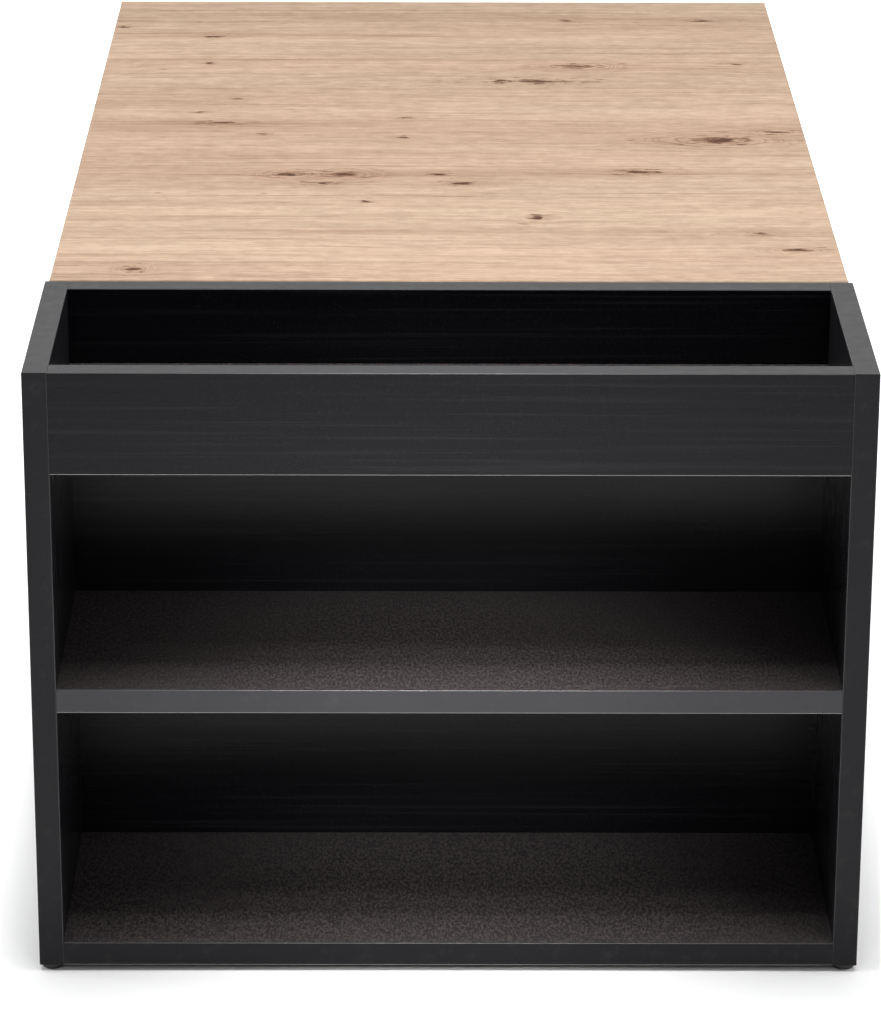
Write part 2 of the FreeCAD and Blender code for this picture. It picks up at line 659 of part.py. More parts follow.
def lift_spring(y_middle):
    """Extension spring, stretched along X between the base plate and the rear arm's lever.

    The coil is held at each end by a fitting: a plug inside the coil, a collar, and an eye for the post.
    """
    neck = 3.0
    collar = 2.0
    reach = SPRING_HOOK_RADIUS + neck
    length = SPRING_PIN.x - SPRING_ANCHOR.x - 2 * (reach + collar)
    path = Part.Wire(Part.makeHelix(length / SPRING_TURNS, length, SPRING_RADIUS))
    wire = Part.Wire(Part.makeCircle(SPRING_WIRE_RADIUS, Vector(SPRING_RADIUS, 0, 0), Y_AXIS))
    coil = path.makePipeShell([wire], True, True)
    plug_radius = SPRING_RADIUS - SPRING_WIRE_RADIUS - 2 * FIT_GAP
    collar_gap = SPRING_WIRE_RADIUS + FIT_GAP
    solids = [coil]
    for z, away in ((0.0, -1), (length, 1)):
        out = Z_AXIS * away
        seat = Vector(0, 0, z) + out * collar_gap
        fitting = round_bar(seat, out, SPRING_RADIUS + SPRING_WIRE_RADIUS, collar)
        fitting = fitting.fuse(round_bar(seat, out * -1.0, plug_radius, 8.0))
        eye = Vector(0, 0, z) + out * (reach + collar)
        shaft_end = eye - out * SPRING_HOOK_RADIUS
        shaft = round_bar(seat, out, SPRING_WIRE_RADIUS, (shaft_end - seat).Length + 0.3)
        ring = Part.makeTorus(SPRING_HOOK_RADIUS, SPRING_WIRE_RADIUS, eye, Y_AXIS)
        ring.rotate(eye, Y_AXIS, away * 45)  # keeps the torus's seam clear of the shaft
        solids.append(fitting.fuse([shaft, ring]))
    for solid in solids:
        solid.rotate(Vector(0, 0, 0), Y_AXIS, 90)
        solid.translate(Vector(SPRING_ANCHOR.x + reach + collar, y_middle, SPRING_ANCHOR.z))
    return group(solids)


def bracket_screw_seats():
    for x in BRACKET_SCREWS_X:
        yield Vector(x, Y_BRACKET + BRACKET_FLANGE * 0.58, Z_TOP_UNDER - PLATE_THICK)


def top_bracket():
    """Steel angle under the oak top. Its upright flange narrows towards both ends."""
    z_skirt = Z_TOP_UNDER - BRACKET_SKIRT
    outline = [
        Vector(BRACKET_REAR_X, Y_BRACKET, Z_TOP_UNDER),
        Vector(BRACKET_FRONT_X, Y_BRACKET, Z_TOP_UNDER),
        Vector(BRACKET_FRONT_X, Y_BRACKET, z_skirt),
        Vector(FRONT_TOP_PIVOT.x + BOSS_RADIUS, Y_BRACKET, FRONT_TOP_PIVOT.z - BOSS_RADIUS),
        Vector(REAR_TOP_PIVOT.x + BOSS_RADIUS, Y_BRACKET, REAR_TOP_PIVOT.z - BOSS_RADIUS),
        Vector(REAR_TOP_PIVOT.x - BOSS_RADIUS, Y_BRACKET, REAR_TOP_PIVOT.z - BOSS_RADIUS),
        Vector(BRACKET_REAR_X, Y_BRACKET, z_skirt),
    ]
    upright = Part.Face(Part.makePolygon(outline + outline[:1])).extrude(Y_AXIS * PLATE_THICK)
    lower = [
        edge for edge in edges_along(upright, Y_AXIS) if edge.Vertexes[0].Z < Z_TOP_UNDER - 1
    ]
    upright = upright.makeFillet(6.0, lower)
    flange = block(
        BRACKET_REAR_X,
        BRACKET_FRONT_X,
        Y_BRACKET,
        Y_BRACKET + BRACKET_FLANGE,
        Z_TOP_UNDER - PLATE_THICK,
        Z_TOP_UNDER,
    )
    angle = upright.fuse(flange)
    holes = [
        along_y(point, Y_BRACKET, Y_BRACKET_INNER, PIN_RADIUS)
        for point in (FRONT_TOP_PIVOT, REAR_TOP_PIVOT)
    ]
    holes += [
        round_bar(seat, Z_AXIS, SCREW_SLOT_RADIUS, PLATE_THICK) for seat in bracket_screw_seats()
    ]
    return angle.cut(holes).removeSplitter()


def sync_tube():
    """Round tube that ties the two front arms together."""
    far_end = 2 * Y_CHEST_MID - Y_ARM_INNER
    return ring_along_y(
        SYNC_PLACE, Y_ARM_INNER, far_end, SYNC_TUBE_RADIUS, SYNC_TUBE_RADIUS - SYNC_TUBE_WALL
    )


def sync_tube_plug():
    inner = SYNC_TUBE_RADIUS - SYNC_TUBE_WALL
    return ring_along_y(SYNC_PLACE, Y_ARM_INNER, Y_ARM_INNER + PLUG_LENGTH, inner, TUBE_BOLT_RADIUS)


def sync_tube_bolt():
    y_head = Y_ARM - TUBE_BOLT_HEAD_THICK
    head = along_y(SYNC_PLACE, y_head, Y_ARM, TUBE_BOLT_HEAD_RADIUS)
    socket = along_y(SYNC_PLACE, y_head, Y_ARM - 0.6, 2.0)
    shank = along_y(SYNC_PLACE, Y_ARM, Y_ARM_INNER + PLUG_LENGTH - 3.0, TUBE_BOLT_RADIUS)
    return head.cut(socket).fuse(shank)


# ---------------------------------------------------------------- oak top


def oak_top():
    """The top's board and its four edge bands."""
    board = Board(
        (-X_OUT + TOP_SIDE_INSET, Y_CABINET_BACK + TOP_END_GAP, Z_TOP_UNDER),
        (X_OUT - TOP_SIDE_INSET, Y_FAR, HEIGHT),
        ("-y", "+y", "-x", "+x"),
        TOP_BAND,
        TOP_BAND_ROUND,
    )
    for seat in bracket_screw_seats():
        hole_start = seat + Z_AXIS * PLATE_THICK
        hole = screw_hole(hole_start, Z_AXIS, BRACKET_SCREW_LENGTH - PLATE_THICK)
        board.drill(hole, mirrored(hole))
    return board


# ---------------------------------------------------------------- the whole table


def make_parts():
    boards = make_boards()
    cabinet = join_cabinet(boards)
    chest = join_chest(boards)
    chest_boards = [name for name in boards if name.startswith("chest")]

    nails = [glide_nail(place) for place in glide_places()]
    for place in glide_places():
        side = "left" if place.x < 0 else "right"
        name = f"cabinet_side_{side}"
        if place.y > Y_CABINET_BACK:
            name = "chest_rear_side" if place.x < 0 else "chest_front_side"
        boards[name].drill(round_bar(place, Z_AXIS, NAIL_RADIUS, NAIL_LENGTH))

    inwards = Y_AXIS * -1.0
    unit_screws = []
    for seat in unit_screw_seats():
        unit_screws.append(wood_screw(seat, inwards, JOIN_SCREW_LENGTH))
        boards["chest_near_end"].drill(screw_hole(seat, inwards, BOARD))
        rest = seat + inwards * BOARD
        boards["cabinet_back"].drill(screw_hole(rest, inwards, JOIN_SCREW_LENGTH - BOARD - BLIND_GAP))

    plate_screws = [wood_screw(seat, inwards, PLATE_SCREW_LENGTH) for seat in plate_screw_seats()]
    for seat in plate_screw_seats():
        start = at_y(seat, Y_PLATE)
        hole = screw_hole(start, inwards, PLATE_SCREW_LENGTH - PLATE_THICK)
        boards["chest_near_end"].drill(hole)
        boards["chest_far_end"].drill(mirrored(hole))

    top = oak_top()
    pivots = (FRONT_PIVOT, REAR_PIVOT)
    top_pivots = (FRONT_TOP_PIVOT, REAR_TOP_PIVOT)

    parts = {name: board.core() for name, board in boards.items()}
    parts["middle_shelf_edge_band"] = group(boards["middle_shelf"].bands)
    parts["cabinet_edge_bands"] = group(
        [
            band
            for name, board in boards.items()
            if name not in chest_boards and name != "middle_shelf"
            for band in board.bands
        ]
    )
    parts["chest_edge_bands"] = group(
        [band for name in chest_boards for band in boards[name].bands]
    )
    parts["cabinet_cam_locks"] = group(cabinet.cams)
    parts["cabinet_cam_bolts"] = group(cabinet.bolts)
    parts["cabinet_dowels"] = group(cabinet.dowels)
    parts["chest_cam_locks"] = group(chest.cams)
    parts["chest_cam_bolts"] = group(chest.bolts)
    parts["chest_dowels"] = group(chest.dowels)
    parts["cam_cover_caps"] = group(cam_cover_caps())
    parts["unit_joining_screws"] = group(unit_screws)
    parts["floor_glides"] = group([glide(place) for place in glide_places()])
    parts["glide_nails"] = group(nails)
    parts["rim_bumpers"] = group(bumpers())

    parts["base_plate_near"] = base_plate()
    parts["base_plate_far"] = mirrored(base_plate())
    parts["base_plate_screws"] = group(with_far_side(plate_screws))
    parts["base_pivot_pins"] = group(with_far_side([base_pivot_pin(p) for p in pivots]))
    base_washers = [
        ring_along_y(p, Y_WASHER, Y_WASHER + WASHER_THICK, WASHER_RADIUS, PIN_RADIUS) for p in pivots
    ]
    parts["base_pivot_washers"] = group(with_far_side(base_washers))
    stop_pin = along_y(STOP_PLACE, Y_PLATE, Y_ARM_INNER + 2.0, STOP_PIN_RADIUS)
    stop_sleeve = ring_along_y(
        STOP_PLACE, Y_WASHER, Y_ARM_INNER + 1.5, STOP_SLEEVE_RADIUS, STOP_PIN_RADIUS
    )
    parts["arm_stop_pins"] = group(with_far_side([stop_pin]))
    parts["arm_stop_sleeves"] = group(with_far_side([stop_sleeve]))
    parts["spring_anchor_pins"] = group(with_far_side([spring_pin(SPRING_ANCHOR, Y_PLATE)]))
    parts["lift_spring_near"] = lift_spring(Y_SPRING)
    parts["lift_spring_far"] = lift_spring(2 * Y_CHEST_MID - Y_SPRING)

    parts["front_arm_near"] = front_arm()
    parts["front_arm_far"] = mirrored(front_arm())
    parts["sync_tube"] = sync_tube()
    parts["sync_tube_plugs"] = group(with_far_side([sync_tube_plug()]))
    parts["sync_tube_bolts"] = group(with_far_side([sync_tube_bolt()]))

    parts["rear_arm_near"] = rear_arm()
    parts["rear_arm_far"] = mirrored(rear_arm())
    parts["lever_spring_pins"] = group(with_far_side([spring_pin(SPRING_PIN, Y_ARM)]))

    parts["lift_top"] = top.core()
    parts["lift_top_edge_bands"] = group(top.bands)
    parts["top_bracket_near"] = top_bracket()
    parts["top_bracket_far"] = mirrored(top_bracket())
    bracket_screws = [
        wood_screw(seat, Z_AXIS, BRACKET_SCREW_LENGTH) for seat in bracket_screw_seats()
    ]
    parts["top_bracket_screws"] = group(with_far_side(bracket_screws))
    parts["top_pivot_pins"] = group(with_far_side([top_pivot_pin(p) for p in top_pivots]))
    top_washers = [
        ring_along_y(p, Y_BRACKET - WASHER_THICK, Y_BRACKET, WASHER_RADIUS, PIN_RADIUS)
        for p in top_pivots
    ]
    parts["top_pivot_washers"] = group(with_far_side(top_washers))
    return parts


def main():
    os.makedirs("parts", exist_ok=True)
    for name, shape in make_parts().items():
        shape.exportStep(f"parts/{name}.step")
        print(f"{name:26s} solids {len(shape.Solids):3d}  volume {shape.Volume / 1000:10.2f} cm3")


main()
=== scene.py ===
import json
import math

import bmesh
import bpy
from mathutils import Matrix, Vector


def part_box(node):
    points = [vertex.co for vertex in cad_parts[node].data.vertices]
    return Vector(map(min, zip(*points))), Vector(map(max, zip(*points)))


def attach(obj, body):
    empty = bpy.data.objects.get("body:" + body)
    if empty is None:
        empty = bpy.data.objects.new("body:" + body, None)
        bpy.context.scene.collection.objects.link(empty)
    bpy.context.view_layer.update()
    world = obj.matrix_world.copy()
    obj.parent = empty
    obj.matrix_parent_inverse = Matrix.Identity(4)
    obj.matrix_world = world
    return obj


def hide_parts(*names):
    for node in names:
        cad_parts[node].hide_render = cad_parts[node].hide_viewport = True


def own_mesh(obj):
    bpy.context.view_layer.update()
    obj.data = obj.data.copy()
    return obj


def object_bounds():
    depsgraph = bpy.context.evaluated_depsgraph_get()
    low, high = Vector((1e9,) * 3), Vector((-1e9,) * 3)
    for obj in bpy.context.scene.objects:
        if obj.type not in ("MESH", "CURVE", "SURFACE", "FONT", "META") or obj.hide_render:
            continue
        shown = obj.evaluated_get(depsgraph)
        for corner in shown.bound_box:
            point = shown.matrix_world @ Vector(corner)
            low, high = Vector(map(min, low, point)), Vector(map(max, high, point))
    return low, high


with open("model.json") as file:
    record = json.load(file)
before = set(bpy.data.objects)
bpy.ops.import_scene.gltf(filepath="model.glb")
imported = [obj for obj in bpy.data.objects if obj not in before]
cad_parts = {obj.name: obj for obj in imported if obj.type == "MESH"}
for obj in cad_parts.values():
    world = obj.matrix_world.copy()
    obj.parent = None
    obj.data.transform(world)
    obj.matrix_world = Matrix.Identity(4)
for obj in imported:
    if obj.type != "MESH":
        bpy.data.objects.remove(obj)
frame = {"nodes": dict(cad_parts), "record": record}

cad_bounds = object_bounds()


def srgb(red, green, blue):
    """Linear colour from 0-255 display values."""

    def linear(value):
        value /= 255
        return value / 12.92 if value <= 0.04045 else ((value + 0.055) / 1.055) ** 2.4

    return (linear(red), linear(green), linear(blue), 1.0)


# ---------------------------------------------------------------- colours

OAK_DARK = srgb(130, 106, 86)
OAK_PALE = srgb(194, 170, 147)
OAK_PINK_TINT = (1.0, 0.955, 0.965, 1.0)
OAK_BROWN = srgb(136, 103, 82)
OAK_KNOT = srgb(74, 42, 24)
OAK_KNOT_RIM = srgb(116, 80, 55)
BLACK = srgb(6, 6, 12)
# Painted light: a lighter copy of the black laminate for the side boards, whose inner faces get
# little light
SIDE_BLACK_PAINTED_LIT = srgb(28, 28, 31)
# Painted light: a lighter, warmer copy of the black laminate for shelves and bottoms, standing in
# for the light that falls on them
SHELF_BLACK_PAINTED_LIT = srgb(47, 43, 45)
BAND_BLACK = srgb(11, 11, 16)
BAND_GREY = srgb(43, 43, 47)
LIGHT_SPECK = srgb(90, 85, 82)
# Speckle of the shelf laminate, painted bright as a sparkle of light
SHELF_SPECK_AND_PAINTED_SPARKLE = srgb(170, 159, 153)
# Painted highlights on band arrises, the brighter one where an arris faces down
ARRIS_PAINTED_HIGHLIGHT = srgb(74, 73, 74)
UNDERSIDE_ARRIS_PAINTED_HIGHLIGHT = srgb(176, 172, 170)
STEEL_BLACK = srgb(30, 30, 32)
ZINC = srgb(190, 192, 196)
CAST_ZINC = srgb(170, 170, 172)
SPRING_STEEL = srgb(165, 166, 170)
BEECH = srgb(196, 160, 118)
NYLON = srgb(222, 219, 208)
PLASTIC_BLACK = srgb(24, 24, 25)
RUBBER_BLACK = srgb(20, 20, 20)
WHITE = (1.0, 1.0, 1.0, 1.0)
FLOOR_WHITE = (0.93, 0.93, 0.935, 1.0)
FLOOR_SHADE = (0.9, 0.9, 0.9, 1.0)

# ---------------------------------------------------------------- shared by the materials

# A name in RANGE, EDGE or FADE holds the two values between which a part of the look comes up, and
# a name in RELIEF holds a bump's depth in metres and its strength.

NOISE_MIDDLE = 0.5
NOISE_RANGE = (0.3, 0.7)  # most of a noise lies in here

# Sockets of the colour mix node
MIX_FACTOR = 0
MIX_FROM = 6
MIX_TO = 7
MIX_RESULT = 2

# ---------------------------------------------------------------- oak: grain, knots and streaks

# Layers of grain: noise scale along and across it, detail, roughness, and an offset that sets the
# layer apart from the others
GRAIN = {
    "boards": (0.7, 11.0, 1.0, 0.5, 2.6),
    "body": (3.2, 42.0, 4.0, 0.75, 9.0),
    "hair": (14.0, 270.0, 4.0, 0.75, 13.0),
    "short": (70.0, 130.0, 3.0, 0.7, 17.0),
    "lines": (1.8, 170.0, 2.0, 0.6, 21.0),
    "pores": (60.0, 1100.0, 1.0, 0.5, 31.0),
    "hue": (1.3, 16.0, 2.0, 0.5, 40.0),
    "mask": (9.0, 260.0, 3.0, 0.6, 51.0),
}
# How much a layer lightens or darkens the wood
TONE_WEIGHTS = {"boards": 0.50, "body": 0.60, "hair": 1.15, "short": 0.75}
TONE_MIDDLE = 0.67
LINE_RANGE = (0.55, 0.68)
LINE_STRENGTH = 0.26
PORE_RANGE = (0.60, 0.72)
PORE_STRENGTH = 0.20
HUE_RANGE = (0.35, 0.65)
MASK_RANGE = (0.36, 0.62)
MASK_LEAST = 0.25  # share of a streak or smear that shows where the mask is lowest
HAIR_HEIGHT = 0.6
BODY_HEIGHT = 0.4
OAK_ROUGHNESS = 0.46
OAK_ROUGHNESS_SPREAD = 0.14
OAK_RELIEF = (0.00025, 0.7)
OAK_SHEEN = 0.03

# Wander of the grain: noise scale along and across it, and the shift in metres
SLOW_WANDER = (2.4, 8.0, 0.024)
RIPPLE = (11.0, 30.0, 0.0045)
WANDER_DETAIL = 2.0

# Knots: share of the top's width, share of its length, half-length of the dark core in metres,
# slimness of the core, how strongly the grain bends round it, and its brown smear's strength
KNOTS = (
    (0.63, 0.67, 0.028, 0.18, 0.8, 0.6),
    (0.70, 0.73, 0.012, 0.50, 1.4, 0.9),
    (0.88, 0.45, 0.019, 0.42, 1.5, 0.8),
    (0.97, 0.48, 0.009, 0.45, 1.7, 0.7),
    (0.76, 0.34, 0.012, 0.40, 0.6, 1.0),
    (0.29, 0.33, 0.009, 0.60, 1.6, 0.8),
    (0.36, 0.33, 0.010, 0.60, 1.6, 1.0),
    (0.33, 0.30, 0.008, 0.50, 0.3, 0.4),
    (0.49, 0.33, 0.007, 0.50, 0.4, 0.5),
    (0.52, 0.30, 0.008, 0.55, 0.4, 0.8),
    (0.18, 0.51, 0.011, 0.35, 0.5, 1.0),
    (0.15, 0.55, 0.005, 0.45, 0.2, 0.4),
    (0.15, 0.85, 0.007, 0.50, 0.5, 0.9),
    (0.15, 0.74, 0.005, 0.50, 0.2, 0.5),
    (0.10, 0.03, 0.005, 0.95, 1.5, 0.9),
    (0.62, 0.19, 0.005, 1.10, 1.2, 0.5),
    (0.91, 0.14, 0.007, 0.35, 0.3, 0.5),
    (0.95, 0.09, 0.008, 0.45, 1.3, 0.7),
    (0.69, 0.92, 0.006, 0.45, 0.3, 0.6),
    (0.90, 0.92, 0.007, 0.45, 0.3, 0.7),
    (0.93, 0.74, 0.005, 0.45, 0.2, 0.5),
    (0.44, 0.46, 0.004, 0.60, 0.2, 0.3),
    (0.44, 0.53, 0.003, 0.70, 0.1, 0.3),
    (0.20, 0.60, 0.004, 0.60, 0.1, 0.4),
    (0.24, 0.47, 0.005, 0.40, 0.1, 0.4),
    (0.39, 0.24, 0.003, 1.00, 0.0, 0.1),
    (0.01, 0.89, 0.005, 0.60, 0.1, 0.6),
)
KNOT_INPUTS = ("X", "Y", "Spikes", "Centre X", "Centre Y", "Core", "Slimness", "Bend")
KNOT_OUTPUTS = ("Shift", "Dark", "Rim", "Smear", "Radius")
SPIKE_SCALE = (55.0, 260.0)  # along and across the grain
SPIKE_LOOK = {"detail": 4.0, "roughness": 0.7}
SPIKE_RAGGEDNESS = 13.0  # doublings of the radius over the noise's whole range
CORE_EDGE = (0.85, 0.50)  # ragged radius at which the core ends, and at which it is full
RIM_EDGE = (1.5, 0.6)
BEND_FALL = (0.11, 0.16)  # how fast it fades along and across the grain
SMEAR_FALL = (0.05, 0.35)
CORE_STRENGTH = 0.94
RIM_STRENGTH = 0.60
SMEAR_STRENGTH = 0.60
CORE_SINK = 0.8  # how far a core lies below the wood, as a share of the relief's depth
NO_KNOT_NEAR = 99.0  # distance in cores that is beyond every ring

RING_BEND = 1.25  # knots that bend the grain more than this have rings round them
RING_SCALE = 1.15  # noise scale over one core's half-length
RING_LOOK = {"detail": 1.5, "roughness": 0.6}
RING_WOBBLE = 2.6
RING_FADE = (4.6, 1.8)  # distance from the knot, in cores, where rings end and where they are full
RING_LINE_RANGE = (0.040, 0.005)
RING_LINE_STRENGTH = 0.60
RING_GLOW_RANGE = (0.05, 0.12)
RING_GLOW_STRENGTH = 0.35

# Small flecks, one to a cell at most
FLECK_SCALE = (10.0, 24.0)  # cells to a metre, along and across the grain
FLECK_WOBBLE = 0.15
FLECK_SIZE = 0.06  # radius of the largest, as a share of a cell
FLECK_SIZE_SPREAD = 3.0  # the higher, the more of them are small
FLECK_FRAY = 0.05
FLECK_EDGE = (-0.01, 0.03)
FLECK_EMPTY_SHARE = 0.6
FLECK_STRENGTH = 0.60

# Darker streaks across the top: share of the length, half-width in metres, strength, and the share
# of the width that the streak is centred on
STREAKS = (
    (0.755, 0.0040, 0.75, 0.25),
    (0.860, 0.0060, 0.60, 0.28),
    (0.935, 0.0130, 0.35, 0.60),
    (0.505, 0.0200, 0.42, 0.08),
    (0.335, 0.0130, 0.42, 0.55),
    (0.400, 0.0050, 0.25, 0.40),
    (0.235, 0.0050, 0.40, 0.05),
    (0.190, 0.0060, 0.45, 0.10),
    (0.150, 0.0050, 0.50, 0.40),
    (0.070, 0.0060, 0.25, 0.20),
)
STREAK_SWAY_SCALE = 3.0
STREAK_SWAY_SEED = 40.0  # gives each streak a sway of its own
STREAK_SWAY_DETAIL = 1.0
STREAK_SWAY = 0.03  # metres
STREAK_HALF_LENGTH = 0.26

# ---------------------------------------------------------------- black laminate

PRESSED_GRAIN_SCALE = (3.0, 260.0)  # along and across the grain
PRESSED_GRAIN_LOOK = {"detail": 4.0, "roughness": 0.6}
PRESSED_GRAIN_RANGE = (0.48, 0.78)
PRESSED_GRAIN_HEIGHT = 0.7
PRESSED_GRAIN_ROUGHNESS = 0.06  # what the fibres add to the board's roughness
SPECKLE_LOOK = {"detail": 2.0, "roughness": 0.7}
SPECKLE_HEIGHT = 0.5
BOARD_CLOUDS = {"scale": 5.0, "detail": 3.0}
BOARD_SHEEN = 0.19
# Shelves and bottoms: painted light in a brighter, denser speckle than on the uprights
BOARD_FLAT = {
    "speck_scale": (620.0, 260.0, 620.0),
    "speck_range": (0.38, 0.66),
    "speck_share": 0.15,
    "speck_colour": SHELF_SPECK_AND_PAINTED_SPARKLE,
    "fibre_share": 0.12,
    "roughness": (0.34, 0.40),
    "relief": (0.00010, 0.5),
}
BOARD_UPRIGHT = {
    "speck_scale": (620.0, 620.0, 620.0),
    "speck_range": (0.54, 0.74),
    "speck_share": 0.06,
    "speck_colour": LIGHT_SPECK,
    "fibre_share": 0.10,
    "roughness": (0.21, 0.26),
    "relief": (0.00004, 0.5),
}

# ---------------------------------------------------------------- edge bands

BAND_MARKS = {"scale": 90.0, "detail": 5.0, "roughness": 0.65}
BAND_MARKS_RANGE = (0.5, 0.8)
BAND_MARKS_SHARE = 0.12
BAND_DRIFT_SCALE = 9.0
BAND_DRIFT_SHARE = 0.2
BAND_ROUGHNESS = (0.28, 0.36)
BAND_RELIEF = (0.00006, 0.4)
# Painted highlight on band arrises that face up, down or the table's middle
ARRIS_HIGHLIGHT_SHARE = 0.8
ROUNDED_RANGE = (0.985, 0.90)  # largest part of the normal, on the flat and well onto an arris
FACING_RANGE = (0.1, 0.4)
UNDERSIDE_RANGE = (-0.1, -0.4)

# ---------------------------------------------------------------- fittings

METAL_CLOUDS = {"scale": 60.0, "detail": 3.0}
METAL_CLOUDS_RANGE = (0.35, 0.7)
METAL_CLOUDS_SHARE = 0.6
METAL_SHADE = 0.72
METAL_MARKS_STRETCH = (420.0, 105.0, 420.0)
METAL_MARKS_DETAIL = 3.0
METAL_ROUGHNESS_SPREAD = (-0.08, 0.10)
METAL_RELIEF = (0.00004, 0.5)

COAT_PEEL_SCALE = 1100.0
COAT_CLOUDS_SCALE = 18.0
COAT_CLOUDS_SHARE = 0.3
COAT_ROUGHNESS = (0.36, 0.50)
COAT_RELIEF = (0.00006, 0.8)
COAT_SHEEN = 0.5

MOULD_TEXTURE = {"scale": 700.0, "roughness": 0.6}
MOULD_DRIFT_SCALE = 40.0
MOULD_SHADE = 0.82
MOULD_ROUGHNESS_SPREAD = (-0.06, 0.06)
MOULD_RELIEF = (0.00004, 0.7)

BEECH_STRETCH = (60.0, 600.0, 600.0)
BEECH_FIBRES = {"detail": 3.0, "roughness": 0.6}
BEECH_FIBRES_RANGE = (0.4, 0.7)
BEECH_SHADE = 0.7
BEECH_ROUGHNESS = 0.6
BEECH_RELIEF = (0.00008, 0.6)

# ---------------------------------------------------------------- lift springs

COIL_TURNS = 58
STEPS_PER_TURN = 14
WIRE_SIDES = 10
WIRE_RADIUS = 0.0011
COIL_RADIUS = 0.0064  # to the middle of the wire
HOOK_NECK = 0.0125  # post to the first turn of the coil
HOOK_HALF_LENGTH = 0.0056
HOOK_HALF_HEIGHT = 0.0045
HOOK_SLACK = 0.0015  # the hook's loop is this far off its post's middle
HOOK_START_DEG = 30
HOOK_WRAP_DEG = 240
HOOK_STEPS = 20
NECK_STEPS = 8

# ---------------------------------------------------------------- stage

FLOOR_HALF_SIZE = 24.0
PAINTED_FLOOR_GLOW = 0.4  # painted light: the paper's glow round the table, which lifts the shade beside it
GLOW_STEEPNESS = 4.0  # how much sooner it comes up beside the table than in front of it
NEAR_GLOW_RANGE = (0.0, 0.25)  # metres from the table
FAR_GLOW_RANGE = (2.5, 6.0)
PAPER_TINT_SCALE = 3.0
PAPER_TINT_SHARE = 0.1
PAPER_ROUGHNESS = 0.9
PAPER_SHEEN = 0.1

# Soft boxes: place, target, width and height of the panel, power in watts
SOFT_BOXES = {
    "overhead": ((0.0, -0.4, 2.5), (0.0, -0.3, 0.3), (2.4, 1.2), 58.5),
    "back": ((0.0, 2.6, 2.6), (0.0, 2.3, 0.0), (3.4, 1.6), 50.0),
    "back_low": ((0.0, 3.8, 1.75), (0.0, -0.2, 0.4), (3.0, 0.9), 12.0),
    "front_low": ((0.0, -3.6, 1.1), (0.0, -0.5, 0.25), (1.6, 0.7), 4.5),
    "front_high": ((0.0, -3.4, 2.3), (0.0, -0.5, 0.25), (1.6, 0.7), 5.0),
    "left": ((-2.6, -0.3, 1.4), (0.0, 0.0, 0.3), (1.4, 1.0), 35.0),
    "right": ((2.6, -0.3, 1.4), (0.0, 0.0, 0.3), (1.4, 1.0), 24.0),
    "key": ((2.0, -2.3, 1.7), (0.0, -0.3, 0.3), (0.9, 0.9), 13.0),
}

# Spots: place, target, radius at the target, power in watts
SPOTS = {
    "floor_near": ((0.0, -0.98, 2.4), (0.0, -0.98, 0.0), 0.32, 60.0),
    "floor_far": ((0.0, -1.38, 2.4), (0.0, -1.38, 0.0), 0.38, 300.0),
    "shelf_steep": ((0.0, -1.05, 2.2), (0.0, -0.50, 0.224), 0.33, 82.0),
    "shelf_edge": ((0.0, -1.3, 1.9), (0.0, -0.52, 0.224), 0.24, 48.0),
    "shelf_low": ((0.0, -1.8, 1.6), (0.0, -0.48, 0.224), 0.25, 8.0),
    "band": ((0.0, -2.2, 1.5), (0.0, -0.53, 0.23), 0.22, 105.0),
}
SPOT_BULB_RADIUS = 0.1
WORLD_LIGHT = 0.05  # strength of the white world on everything but the camera's own view

CAMERA_PLACE = (-0.0237, -3.4234, 1.4541)
CAMERA_PITCH = 20.674  # degrees down
CAMERA_YAW = 0.331  # degrees towards +X
CAMERA_ROLL = 0.209
FOCAL_SHARE = 4.2966  # focal length over the picture's long side
SENSOR = 36.0  # millimetres
CAMERA_REACH = 60.0  # metres


# ---------------------------------------------------------------- node helpers


